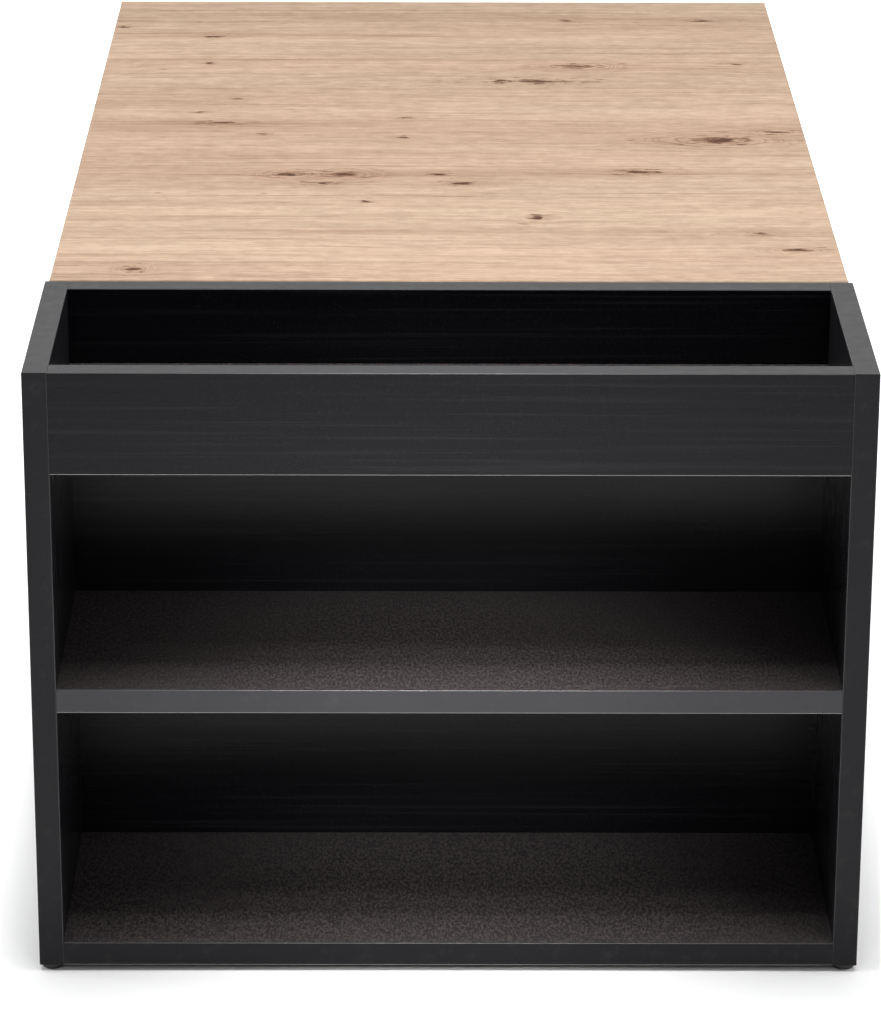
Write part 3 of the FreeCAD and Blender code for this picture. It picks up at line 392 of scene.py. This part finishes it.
class Nodes:
    """Adds nodes to a tree. Most methods return the socket that carries the result."""

    def __init__(self, tree):
        self.tree = tree

    def add(self, kind, **settings):
        node = self.tree.nodes.new(kind)
        for name, value in settings.items():
            setattr(node, name, value)
        return node

    def feed(self, socket, value):
        if isinstance(value, bpy.types.NodeSocket):
            self.tree.links.new(value, socket)
        else:
            socket.default_value = value

    def math(self, operation, a, b=0.0, clamp=False):
        node = self.add("ShaderNodeMath", operation=operation, use_clamp=clamp)
        self.feed(node.inputs[0], a)
        self.feed(node.inputs[1], b)
        return node.outputs[0]

    def plus(self, a, b):
        return self.math("ADD", a, b)

    def minus(self, a, b):
        return self.math("SUBTRACT", a, b)

    def times(self, a, b):
        return self.math("MULTIPLY", a, b)

    def larger(self, a, b):
        return self.math("MAXIMUM", a, b)

    def absolute(self, value):
        return self.math("ABSOLUTE", value)

    def bell(self, spread):
        """1 where the spread is 0, and falls towards 0 as it grows."""
        return self.math("EXPONENT", self.times(spread, -1.0))

    def centred(self, value, weight):
        """A noise value about its own middle, times a weight."""
        return self.times(self.minus(value, NOISE_MIDDLE), weight)

    def remap(self, value, low, high, to_low=0.0, to_high=1.0):
        node = self.add("ShaderNodeMapRange", interpolation_type="SMOOTHSTEP")
        for name, number in (
            ("Value", value),
            ("From Min", low),
            ("From Max", high),
            ("To Min", to_low),
            ("To Max", to_high),
        ):
            self.feed(node.inputs[name], number)
        return node.outputs[0]

    def mix(self, factor, a, b, blend="MIX"):
        node = self.add("ShaderNodeMix", data_type="RGBA", blend_type=blend, clamp_factor=True)
        self.feed(node.inputs[MIX_FACTOR], factor)
        self.feed(node.inputs[MIX_FROM], a)
        self.feed(node.inputs[MIX_TO], b)
        return node.outputs[MIX_RESULT]

    def split(self, vector):
        node = self.add("ShaderNodeSeparateXYZ")
        self.feed(node.inputs[0], vector)
        return node.outputs

    def join(self, x, y, z=0.0):
        node = self.add("ShaderNodeCombineXYZ")
        for socket, value in zip(node.inputs, (x, y, z)):
            self.feed(socket, value)
        return node.outputs[0]

    def stretch(self, vector, scale):
        node = self.add("ShaderNodeVectorMath", operation="MULTIPLY")
        self.feed(node.inputs[0], vector)
        node.inputs[1].default_value = scale
        return node.outputs[0]

    def noise(self, vector, scale=1.0, detail=2.0, roughness=0.5):
        node = self.add("ShaderNodeTexNoise")
        self.feed(node.inputs["Vector"], vector)
        node.inputs["Scale"].default_value = scale
        node.inputs["Detail"].default_value = detail
        node.inputs["Roughness"].default_value = roughness
        return node.outputs[0]

    def bump(self, height, distance, strength):
        node = self.add("ShaderNodeBump")
        self.feed(node.inputs["Height"], height)
        node.inputs["Distance"].default_value = distance
        node.inputs["Strength"].default_value = strength
        return node.outputs[0]


class Material(Nodes):
    """A principled material that starts from the object's own coordinates."""

    def __init__(self, name):
        self.data = bpy.data.materials.new(name)
        self.data.use_nodes = True
        super().__init__(self.data.node_tree)
        self.tree.nodes.clear()
        output = self.add("ShaderNodeOutputMaterial")
        self.shader = self.add("ShaderNodeBsdfPrincipled")
        self.tree.links.new(self.shader.outputs[0], output.inputs[0])
        self.place = self.add("ShaderNodeTexCoord").outputs["Object"]

    def finish(self, **inputs):
        for name, value in inputs.items():
            self.feed(self.shader.inputs[name.replace("_", " ")], value)
        return self.data


# ---------------------------------------------------------------- oak


def knot_group():
    """One knot: its shift of the grain, its dark core, rim and smear, and the way out from it."""
    tree = bpy.data.node_groups.new("Knot", "ShaderNodeTree")
    for way, names in (("INPUT", KNOT_INPUTS), ("OUTPUT", KNOT_OUTPUTS)):
        for name in names:
            tree.interface.new_socket(name, in_out=way, socket_type="NodeSocketFloat")
    n = Nodes(tree)
    source = n.add("NodeGroupInput").outputs
    result = n.add("NodeGroupOutput").inputs
    across = n.minus(source["Y"], source["Centre Y"])
    along = n.minus(source["X"], source["Centre X"])
    core_width = n.times(source["Core"], source["Slimness"])
    along_cores = n.math("DIVIDE", along, source["Core"])
    across_cores = n.math("DIVIDE", across, core_width)
    along_square = n.times(along_cores, along_cores)
    across_square = n.times(across_cores, across_cores)

    def bell(along_fall, across_fall):
        return n.bell(n.plus(n.times(along_square, along_fall), n.times(across_square, across_fall)))

    pushed = n.times(across, source["Bend"])
    n.feed(result["Shift"], n.times(pushed, bell(*BEND_FALL)))
    radius = n.math("SQRT", n.plus(along_square, across_square))
    ragged_radius = n.times(radius, source["Spikes"])
    n.feed(result["Dark"], n.remap(ragged_radius, *CORE_EDGE))
    n.feed(result["Rim"], n.remap(ragged_radius, *RIM_EDGE))
    n.feed(result["Smear"], bell(*SMEAR_FALL))
    n.feed(result["Radius"], radius)
    return tree


def knot_spikes(m, x, y):
    """Factor that makes the outline of a knot ragged along the grain."""
    along, across = SPIKE_SCALE
    noise = m.noise(m.join(m.times(x, along), m.times(y, across)), **SPIKE_LOOK)
    return m.math("POWER", 2.0, m.centred(noise, SPIKE_RAGGEDNESS))


def add_knots(m, x, y, knots):
    """Runs all knots over one point. Returns the grain's shift, then what colours it."""
    spikes = knot_spikes(m, x, y)
    shift, dark, rim, smear, radius = 0.0, 0.0, 0.0, 0.0, NO_KNOT_NEAR
    group = knot_group()
    for centre_x, centre_y, core, slimness, bend, smear_strength in knots:
        knot = m.add("ShaderNodeGroup", node_tree=group)
        values = (x, y, spikes, centre_x, centre_y, core, slimness, bend)
        for name, value in zip(KNOT_INPUTS, values):
            m.feed(knot.inputs[name], value)
        dark = m.larger(dark, knot.outputs["Dark"])
        rim = m.larger(rim, knot.outputs["Rim"])
        smear = m.larger(smear, m.times(knot.outputs["Smear"], smear_strength))
        if bend:
            shift = m.plus(shift, knot.outputs["Shift"])
        if bend > RING_BEND:
            radius = m.math("MINIMUM", radius, knot.outputs["Radius"])
    return shift, dark, rim, smear, radius


def add_streaks(m, x, y):
    """Darker streaks along the grain, which wander a little and fade away from their middles."""
    low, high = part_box("lift_top")
    total = 0.0
    for share, half_width, strength, share_along in STREAKS:
        middle = low.y + share * (high.y - low.y)
        middle_x = low.x + share_along * (high.x - low.x)
        sway_place = m.join(m.times(x, STREAK_SWAY_SCALE), middle * STREAK_SWAY_SEED)
        sway = m.noise(sway_place, detail=STREAK_SWAY_DETAIL)
        off = m.minus(m.minus(y, middle), m.centred(sway, STREAK_SWAY))
        off = m.math("DIVIDE", off, half_width)
        off_along = m.math("DIVIDE", m.minus(x, middle_x), STREAK_HALF_LENGTH)
        streak = m.bell(m.plus(m.times(off, off), m.times(off_along, off_along)))
        total = m.larger(total, m.times(streak, strength))
    return total


class Grain:
    """Oak grain that runs along x, shifted across it by a slow wander and by the knots."""

    def __init__(self, m, knots):
        self.m = m
        self.layers = {}
        self.x, self.y, self.z = m.split(m.place)
        _, slow_shift = self.wander(*SLOW_WANDER)
        self.ripple, ripple_shift = self.wander(*RIPPLE)
        self.across = m.plus(self.y, m.plus(slow_shift, ripple_shift))
        if knots:
            shift, self.dark, self.rim, self.smear, self.radius = add_knots(m, self.x, self.y, knots)
            self.across = m.minus(self.across, shift)

    def wander(self, along, across, shift):
        """A slow noise, and the shift that it gives the grain."""
        m = self.m
        place = m.join(m.times(self.x, along), m.times(self.y, across), self.z)
        noise = m.noise(place, detail=WANDER_DETAIL)
        return noise, m.centred(noise, shift)

    def layer(self, name):
        """One layer of the grain, made once."""
        if name not in self.layers:
            self.layers[name] = self.new_layer(*GRAIN[name])
        return self.layers[name]

    def new_layer(self, along, across, detail, roughness, offset):
        """Noise drawn out along the grain."""
        m = self.m
        place = m.join(
            m.plus(m.times(self.x, along), offset),
            m.times(self.across, across),
            m.plus(m.times(self.z, across), offset),
        )
        return m.noise(place, detail=detail, roughness=roughness)


def plain_oak(grain):
    """Colour and relief of oak without knots."""
    m = grain.m
    tone = TONE_MIDDLE
    for name, weight in TONE_WEIGHTS.items():
        tone = m.plus(tone, m.centred(grain.layer(name), weight))
    lines = m.remap(grain.layer("lines"), *LINE_RANGE)
    tone = m.math("SUBTRACT", tone, m.times(lines, LINE_STRENGTH), clamp=True)
    colour = m.mix(tone, OAK_DARK, OAK_PALE)
    hue = m.remap(grain.layer("hue"), *HUE_RANGE)
    colour = m.mix(hue, colour, OAK_PINK_TINT, "MULTIPLY")
    pores = m.remap(grain.layer("pores"), *PORE_RANGE)
    colour = m.mix(m.times(pores, PORE_STRENGTH), colour, OAK_KNOT_RIM)
    hair_height = m.times(grain.layer("hair"), HAIR_HEIGHT)
    return colour, m.plus(hair_height, m.times(grain.layer("body"), BODY_HEIGHT))


def add_rings(grain, colour):
    """Fine rings round the larger knots, brown lines between paler wood."""
    m = grain.m
    out = m.plus(m.times(grain.radius, RING_SCALE), m.centred(grain.ripple, RING_WOBBLE))
    rings = m.noise(m.join(out, 0.0), **RING_LOOK)
    off_ring = m.absolute(m.minus(rings, NOISE_MIDDLE))
    fade = m.remap(grain.radius, *RING_FADE)
    line = m.times(m.remap(off_ring, *RING_LINE_RANGE), fade)
    glow = m.times(m.remap(off_ring, *RING_GLOW_RANGE), fade)
    colour = m.mix(m.times(line, RING_LINE_STRENGTH), colour, OAK_BROWN)
    return m.mix(m.times(glow, RING_GLOW_STRENGTH), colour, OAK_PALE)


def add_flecks(grain, colour):
    """Small dark flecks, scattered and of uneven size."""
    m = grain.m
    along, across = FLECK_SCALE
    flecks = m.add("ShaderNodeTexVoronoi", voronoi_dimensions="2D")
    fleck_x = m.plus(m.times(grain.x, along), m.times(grain.ripple, FLECK_WOBBLE))
    m.feed(flecks.inputs["Vector"], m.join(fleck_x, m.times(grain.across, across)))
    flecks.inputs["Scale"].default_value = 1.0
    chance, size, _ = m.split(flecks.outputs["Color"])
    radius = m.times(m.math("POWER", size, FLECK_SIZE_SPREAD), FLECK_SIZE)
    depth = m.minus(radius, flecks.outputs["Distance"])
    depth = m.plus(depth, m.centred(grain.layer("hair"), FLECK_FRAY))
    there = m.math("GREATER_THAN", chance, FLECK_EMPTY_SHARE)
    fleck = m.times(there, m.remap(depth, *FLECK_EDGE))
    return m.mix(m.times(fleck, FLECK_STRENGTH), colour, OAK_KNOT_RIM)


def knotty_oak(grain):
    """Colour and relief of oak with streaks, rings, smears, flecks and knots."""
    m = grain.m
    colour, relief = plain_oak(grain)
    mask = m.remap(grain.layer("mask"), *MASK_RANGE, to_low=MASK_LEAST)
    colour = m.mix(m.times(add_streaks(m, grain.x, grain.y), mask), colour, OAK_BROWN)
    colour = add_rings(grain, colour)
    colour = m.mix(m.times(m.times(grain.smear, mask), SMEAR_STRENGTH), colour, OAK_BROWN)
    colour = add_flecks(grain, colour)
    colour = m.mix(m.times(grain.rim, RIM_STRENGTH), colour, OAK_KNOT_RIM)
    colour = m.mix(m.times(grain.dark, CORE_STRENGTH), colour, OAK_KNOT)
    return colour, m.minus(relief, m.times(grain.dark, CORE_SINK))


def oak(name, knots):
    """Matt oak whose dark fibres are pressed in a little."""
    m = Material(name)
    grain = Grain(m, knots)
    colour, relief = knotty_oak(grain) if knots else plain_oak(grain)
    return m.finish(
        Base_Color=colour,
        Roughness=m.plus(OAK_ROUGHNESS, m.times(relief, OAK_ROUGHNESS_SPREAD)),
        Normal=m.bump(relief, *OAK_RELIEF),
        Specular_IOR_Level=OAK_SHEEN,
    )


def knots_on_top():
    """The knots with their middles in metres."""
    low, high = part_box("lift_top")
    places = []
    for share_x, share_y, *form in KNOTS:
        x = low.x + share_x * (high.x - low.x)
        y = low.y + share_y * (high.y - low.y)
        places.append((x, y, *form))
    return places


# ---------------------------------------------------------------- black boards and their bands


def black_board(name, grain_axis, base, look):
    """Matt black laminate with a faint pressed grain along one axis and a fine speckle."""
    m = Material(name)
    along, across = PRESSED_GRAIN_SCALE
    scale = [along if axis == grain_axis else across for axis in "xyz"]
    fibres = m.noise(m.stretch(m.place, scale), **PRESSED_GRAIN_LOOK)
    speckle = m.noise(m.stretch(m.place, look["speck_scale"]), **SPECKLE_LOOK)
    clouds = m.noise(m.place, **BOARD_CLOUDS)
    fibre_share = m.remap(fibres, *PRESSED_GRAIN_RANGE, to_high=look["fibre_share"])
    speck_share = m.remap(speckle, *look["speck_range"], to_high=look["speck_share"])
    colour = m.mix(fibre_share, base, LIGHT_SPECK)
    colour = m.mix(speck_share, colour, look["speck_colour"])
    clouded = m.remap(clouds, *NOISE_RANGE, *look["roughness"])
    relief = m.plus(m.times(fibres, PRESSED_GRAIN_HEIGHT), m.times(speckle, SPECKLE_HEIGHT))
    return m.finish(
        Base_Color=colour,
        Roughness=m.plus(clouded, m.times(fibres, PRESSED_GRAIN_ROUGHNESS)),
        Normal=m.bump(relief, *look["relief"]),
        Specular_IOR_Level=BOARD_SHEEN,
    )


def painted_arris_highlight(m):
    """Painted highlight: how far a point is on an arris that faces up, down or the table's middle,
    and the highlight's colour.
    """
    turned_x, turned_y, turned_z = m.split(m.add("ShaderNodeNewGeometry").outputs["Normal"])
    largest = m.larger(m.larger(m.absolute(turned_x), m.absolute(turned_y)), m.absolute(turned_z))
    rounded = m.remap(largest, *ROUNDED_RANGE)
    place_x = m.split(m.place)[0]
    inward = m.times(m.math("SIGN", place_x), m.times(turned_x, -1.0))
    facing = m.remap(m.larger(inward, m.absolute(turned_z)), *FACING_RANGE)
    colour = m.mix(m.remap(turned_z, *UNDERSIDE_RANGE), ARRIS_PAINTED_HIGHLIGHT, UNDERSIDE_ARRIS_PAINTED_HIGHLIGHT)
    return m.times(rounded, facing), colour


def edge_band(name, colour, sheen):
    """Plastic edge banding: fine draw marks, slight colour drift and a painted highlight on its
    arrises.
    """
    m = Material(name)
    marks = m.noise(m.place, **BAND_MARKS)
    drift = m.noise(m.place, scale=BAND_DRIFT_SCALE)
    tone = m.mix(m.remap(drift, *NOISE_RANGE, to_high=BAND_DRIFT_SHARE), colour, BLACK)
    marked = m.remap(marks, *BAND_MARKS_RANGE, to_high=BAND_MARKS_SHARE)
    tone = m.mix(marked, tone, LIGHT_SPECK)
    # Painted highlight along the arrises that catch the light
    highlight_mask, highlight_colour = painted_arris_highlight(m)
    tone = m.mix(m.times(highlight_mask, ARRIS_HIGHLIGHT_SHARE), tone, highlight_colour)
    return m.finish(
        Base_Color=tone,
        Roughness=m.remap(marks, *NOISE_RANGE, *BAND_ROUGHNESS),
        Normal=m.bump(marks, *BAND_RELIEF),
        Specular_IOR_Level=sheen,
    )


# ---------------------------------------------------------------- fittings


def shaded(colour, share):
    """A colour darkened to a share of its brightness."""
    return tuple(part * share for part in colour[:3]) + (1.0,)


def spread_round(middle, spread):
    """The low and high end of a spread round a middle."""
    return [middle + end for end in spread]


def metal(name, colour, roughness):
    """Plated steel, bare steel or cast zinc, with cloudy colour and fine tooling marks."""
    m = Material(name)
    clouds = m.noise(m.place, **METAL_CLOUDS)
    cloudy = m.remap(clouds, *METAL_CLOUDS_RANGE, to_high=METAL_CLOUDS_SHARE)
    marks = m.noise(m.stretch(m.place, METAL_MARKS_STRETCH), detail=METAL_MARKS_DETAIL)
    return m.finish(
        Base_Color=m.mix(cloudy, colour, shaded(colour, METAL_SHADE)),
        Metallic=1.0,
        Roughness=m.remap(marks, *NOISE_RANGE, *spread_round(roughness, METAL_ROUGHNESS_SPREAD)),
        Normal=m.bump(marks, *METAL_RELIEF),
    )


def painted_steel(name):
    """Powder coat: a fine orange-peel surface."""
    m = Material(name)
    peel = m.noise(m.place, scale=COAT_PEEL_SCALE)
    clouds = m.noise(m.place, scale=COAT_CLOUDS_SCALE)
    cloudy = m.remap(clouds, *NOISE_RANGE, to_high=COAT_CLOUDS_SHARE)
    return m.finish(
        Base_Color=m.mix(cloudy, STEEL_BLACK, BAND_BLACK),
        Roughness=m.remap(peel, *NOISE_RANGE, *COAT_ROUGHNESS),
        Normal=m.bump(peel, *COAT_RELIEF),
        Specular_IOR_Level=COAT_SHEEN,
    )


def moulded(name, colour, roughness):
    """Moulded plastic or rubber with a fine mould texture."""
    m = Material(name)
    texture = m.noise(m.place, **MOULD_TEXTURE)
    drift = m.noise(m.place, scale=MOULD_DRIFT_SCALE)
    return m.finish(
        Base_Color=m.mix(m.remap(drift, *NOISE_RANGE), colour, shaded(colour, MOULD_SHADE)),
        Roughness=m.remap(texture, *NOISE_RANGE, *spread_round(roughness, MOULD_ROUGHNESS_SPREAD)),
        Normal=m.bump(texture, *MOULD_RELIEF),
    )


def beech(name):
    """Dowel wood with its fibres along x."""
    m = Material(name)
    fibres = m.noise(m.stretch(m.place, BEECH_STRETCH), **BEECH_FIBRES)
    return m.finish(
        Base_Color=m.mix(m.remap(fibres, *BEECH_FIBRES_RANGE), BEECH, shaded(BEECH, BEECH_SHADE)),
        Roughness=BEECH_ROUGHNESS,
        Normal=m.bump(fibres, *BEECH_RELIEF),
    )


def make_materials():
    """Materials by the record's slot, with four kinds of black board. Shelves and sides get lighter
    copies of the black as painted light.
    """
    return {
        "oak_laminate": oak("oak_laminate", knots_on_top()),
        "oak_edge_band": oak("oak_edge_band", ()),
        # Shelves take a lighter, warmer copy of the black as painted light
        "black_shelf": black_board("black_shelf", "x", SHELF_BLACK_PAINTED_LIT, BOARD_FLAT),
        "black_upright": black_board("black_upright", "x", BLACK, BOARD_UPRIGHT),
        # Side boards take a lighter copy of the black as painted light
        "black_cabinet_side": black_board("black_cabinet_side", "z", SIDE_BLACK_PAINTED_LIT, BOARD_UPRIGHT),
        "black_chest_side": black_board("black_chest_side", "y", SIDE_BLACK_PAINTED_LIT, BOARD_UPRIGHT),
        "black_edge_band": edge_band("black_edge_band", BAND_BLACK, sheen=0.21),
        "grey_edge_band": edge_band("grey_edge_band", BAND_GREY, sheen=0.40),
        "zinc_casting": metal("zinc_casting", CAST_ZINC, roughness=0.42),
        "zinc_plated_steel": metal("zinc_plated_steel", ZINC, roughness=0.30),
        "spring_steel": metal("spring_steel", SPRING_STEEL, roughness=0.26),
        "black_painted_steel": painted_steel("black_painted_steel"),
        "black_plastic": moulded("black_plastic", PLASTIC_BLACK, roughness=0.45),
        "rubber": moulded("rubber", RUBBER_BLACK, roughness=0.75),
        "nylon": moulded("nylon", NYLON, roughness=0.40),
        "beech_dowel": beech("beech_dowel"),
    }


def black_kind(node):
    """Which black laminate a board has. Shelves and sides take lighter copies as painted light."""
    if any(word in node for word in ("shelf", "bottom", "floor")):
        return "black_shelf"
    if node.startswith("cabinet_side"):
        return "black_cabinet_side"
    if node.endswith("_side"):
        return "black_chest_side"
    return "black_upright"


def paint_nodes(materials):
    """Gives every CAD node its material. Black boards differ in grain direction, and shelves and
    sides take lighter copies of the black as painted light.
    """
    for part in frame["record"]["subparts"]:
        node = frame["nodes"][part["node"]]
        slot = part["material_slot"]
        if slot == "black_laminate":
            slot = black_kind(part["node"])
        node.data.materials.clear()
        node.data.materials.append(materials[slot])


# ---------------------------------------------------------------- lift springs


def swept_wire(path, radius, sides):
    """Mesh of a round wire along a list of points, closed at both ends."""
    mesh = bmesh.new()
    rings = []
    normal = None
    for i, point in enumerate(path):
        before = path[max(i - 1, 0)]
        after = path[min(i + 1, len(path) - 1)]
        tangent = (after - before).normalized()
        if normal is None:
            normal = tangent.orthogonal().normalized()
        normal = (normal - tangent * normal.dot(tangent)).normalized()
        binormal = tangent.cross(normal)
        ring = []
        for side in range(sides):
            turn = 2 * math.pi * side / sides
            offset = (normal * math.cos(turn) + binormal * math.sin(turn)) * radius
            ring.append(mesh.verts.new(point + offset))
        rings.append(ring)
    for ring, following in zip(rings, rings[1:]):
        for side in range(sides):
            after = (side + 1) % sides
            mesh.faces.new((ring[side], ring[after], following[after], following[side]))
    mesh.faces.new(list(reversed(rings[0])))
    mesh.faces.new(rings[-1])
    bmesh.ops.recalc_face_normals(mesh, faces=mesh.faces)
    return mesh


def hook_path(post_x, outward, y, z):
    """From the wire's free end round a post, then down to the foot of the coil's end turn."""
    middle = post_x - outward * HOOK_SLACK
    points = []
    for step in range(HOOK_STEPS + 1):
        turn = math.radians(HOOK_START_DEG + HOOK_WRAP_DEG * step / HOOK_STEPS)
        x = middle - outward * HOOK_HALF_LENGTH * math.cos(turn)
        points.append(Vector((x, y, z + HOOK_HALF_HEIGHT * math.sin(turn))))
    coil_x = post_x - outward * HOOK_NECK
    for step in range(1, NECK_STEPS):
        share = step / NECK_STEPS
        eased = share * share * (3 - 2 * share)
        drop = HOOK_HALF_HEIGHT + (COIL_RADIUS - HOOK_HALF_HEIGHT) * eased
        points.append(Vector((middle + (coil_x - middle) * share, y, z - drop)))
    return points


def spring_path(start, end, y, z):
    """Hook, coil and hook, as one wire along X between two posts."""
    path = hook_path(start, -1, y, z)
    coil_start, coil_end = start + HOOK_NECK, end - HOOK_NECK
    total = COIL_TURNS * STEPS_PER_TURN
    for step in range(total + 1):
        turn = 2 * math.pi * step / STEPS_PER_TURN - math.pi / 2
        x = coil_start + (coil_end - coil_start) * step / total
        offset = Vector((0, COIL_RADIUS * math.cos(turn), COIL_RADIUS * math.sin(turn)))
        path.append(Vector((x, y, z)) + offset)
    path.extend(reversed(hook_path(end, 1, y, z)))
    return path


def make_springs(steel):
    """Wire springs in place of the CAD's plain ones."""
    anchor_low, anchor_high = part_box("spring_anchor_pins")
    lever_low, lever_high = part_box("lever_spring_pins")
    start = (anchor_low.x + anchor_high.x) / 2
    end = (lever_low.x + lever_high.x) / 2
    z = (anchor_low.z + anchor_high.z) / 2
    for node in ("lift_spring_near", "lift_spring_far"):
        low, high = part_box(node)
        y = (low.y + high.y) / 2
        wire = swept_wire(spring_path(start, end, y, z), WIRE_RADIUS, WIRE_SIDES)
        mesh = bpy.data.meshes.new(node + "_wire")
        wire.to_mesh(mesh)
        wire.free()
        mesh.shade_smooth()
        mesh.materials.append(steel)
        spring = bpy.data.objects.new(node + "_wire", mesh)
        bpy.context.scene.collection.objects.link(spring)
        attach(spring, "cabinet_and_chest")
        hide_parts(node)
        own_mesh(spring)


# ---------------------------------------------------------------- stage


def painted_floor_glow(m):
    """Painted light: the paper's glow, none under the table, some round it to lift the shade there,
    full far away.
    """
    x, y, _ = m.split(m.place)
    half_width, half_length, _ = cad_bounds[1]
    beside = m.times(m.larger(m.minus(m.absolute(x), half_width), 0.0), GLOW_STEEPNESS)
    beyond = m.larger(m.minus(m.absolute(y), half_length), 0.0)
    from_table = m.math("SQRT", m.plus(m.times(beside, beside), m.times(beyond, beyond)))
    near = m.remap(from_table, *NEAR_GLOW_RANGE, to_high=PAINTED_FLOOR_GLOW)
    far = m.remap(from_table, *FAR_GLOW_RANGE, to_high=1.0 - PAINTED_FLOOR_GLOW)
    return m.plus(near, far)


def make_floor():
    """White paper that the table stands on. It glows a little round the table as painted light, and
    more far off.
    """
    size = FLOOR_HALF_SIZE
    mesh = bpy.data.meshes.new("floor")
    corners = [(-size, -size, 0), (size, -size, 0), (size, size, 0), (-size, size, 0)]
    mesh.from_pydata(corners, [], [(0, 1, 2, 3)])
    floor = bpy.data.objects.new("floor", mesh)
    bpy.context.scene.collection.objects.link(floor)
    m = Material("floor")
    tint = m.remap(m.noise(m.place, scale=PAPER_TINT_SCALE), *NOISE_RANGE, to_high=PAPER_TINT_SHARE)
    surface = m.finish(
        Base_Color=m.mix(tint, FLOOR_WHITE, FLOOR_SHADE),
        Roughness=PAPER_ROUGHNESS,
        Specular_IOR_Level=PAPER_SHEEN,
        Emission_Color=WHITE,
        Emission_Strength=painted_floor_glow(m),
    )
    mesh.materials.append(surface)


def add_light(data, power, place, target):
    """Puts a light at its place and turns it towards its target."""
    data.energy = power
    light = bpy.data.objects.new(data.name, data)
    light.location = place
    light.rotation_euler = (Vector(target) - Vector(place)).to_track_quat("-Z", "Y").to_euler()
    bpy.context.scene.collection.objects.link(light)


def soft_box(name, place, target, size, power):
    """A rectangular panel of light."""
    data = bpy.data.lights.new(name, "AREA")
    data.shape = "RECTANGLE"
    data.size, data.size_y = size
    add_light(data, power, place, target)


def spot_light(name, place, target, radius, power):
    """A round soft-edged spot that covers a disc of this radius at its target."""
    data = bpy.data.lights.new(name, "SPOT")
    data.spot_size = 2 * math.atan(radius / (Vector(target) - Vector(place)).length)
    data.spot_blend = 1.0
    data.shadow_soft_size = SPOT_BULB_RADIUS
    add_light(data, power, place, target)


def make_world():
    """White where the camera sees it, and a faint light on everything else."""
    world = bpy.data.worlds.new("studio")
    world.use_nodes = True
    backdrop = world.node_tree.nodes["Background"].inputs
    backdrop["Color"].default_value = WHITE
    n = Nodes(world.node_tree)
    seen = n.add("ShaderNodeLightPath").outputs["Is Camera Ray"]
    n.feed(backdrop["Strength"], n.larger(seen, WORLD_LIGHT))
    bpy.context.scene.world = world


def make_lights():
    """Soft boxes all round, and spots for the floor and for the shelves."""
    for name, (place, target, size, power) in SOFT_BOXES.items():
        soft_box(name, place, target, size, power)
    for name, (place, target, radius, power) in SPOTS.items():
        spot_light(name, place, target, radius, power)


def make_camera():
    """Camera in front of the shelf end that looks down on the table."""
    data = bpy.data.cameras.new("camera")
    data.sensor_width = SENSOR
    data.lens = FOCAL_SHARE * SENSOR
    data.clip_end = CAMERA_REACH
    camera = bpy.data.objects.new("camera", data)
    pitch, yaw = math.radians(CAMERA_PITCH), math.radians(CAMERA_YAW)
    level = math.cos(pitch)
    forward = Vector((math.sin(yaw) * level, math.cos(yaw) * level, -math.sin(pitch)))
    turn = forward.to_track_quat("-Z", "Y").to_matrix()
    roll = Matrix.Rotation(math.radians(CAMERA_ROLL), 3, "Z")
    camera.matrix_world = Matrix.Translation(CAMERA_PLACE) @ (turn @ roll).to_4x4()
    bpy.context.scene.collection.objects.link(camera)
    bpy.context.scene.camera = camera


materials = make_materials()
paint_nodes(materials)
make_springs(materials["spring_steel"])
make_floor()
make_world()
make_lights()
make_camera()
bpy.context.scene.view_settings.view_transform = "Standard"
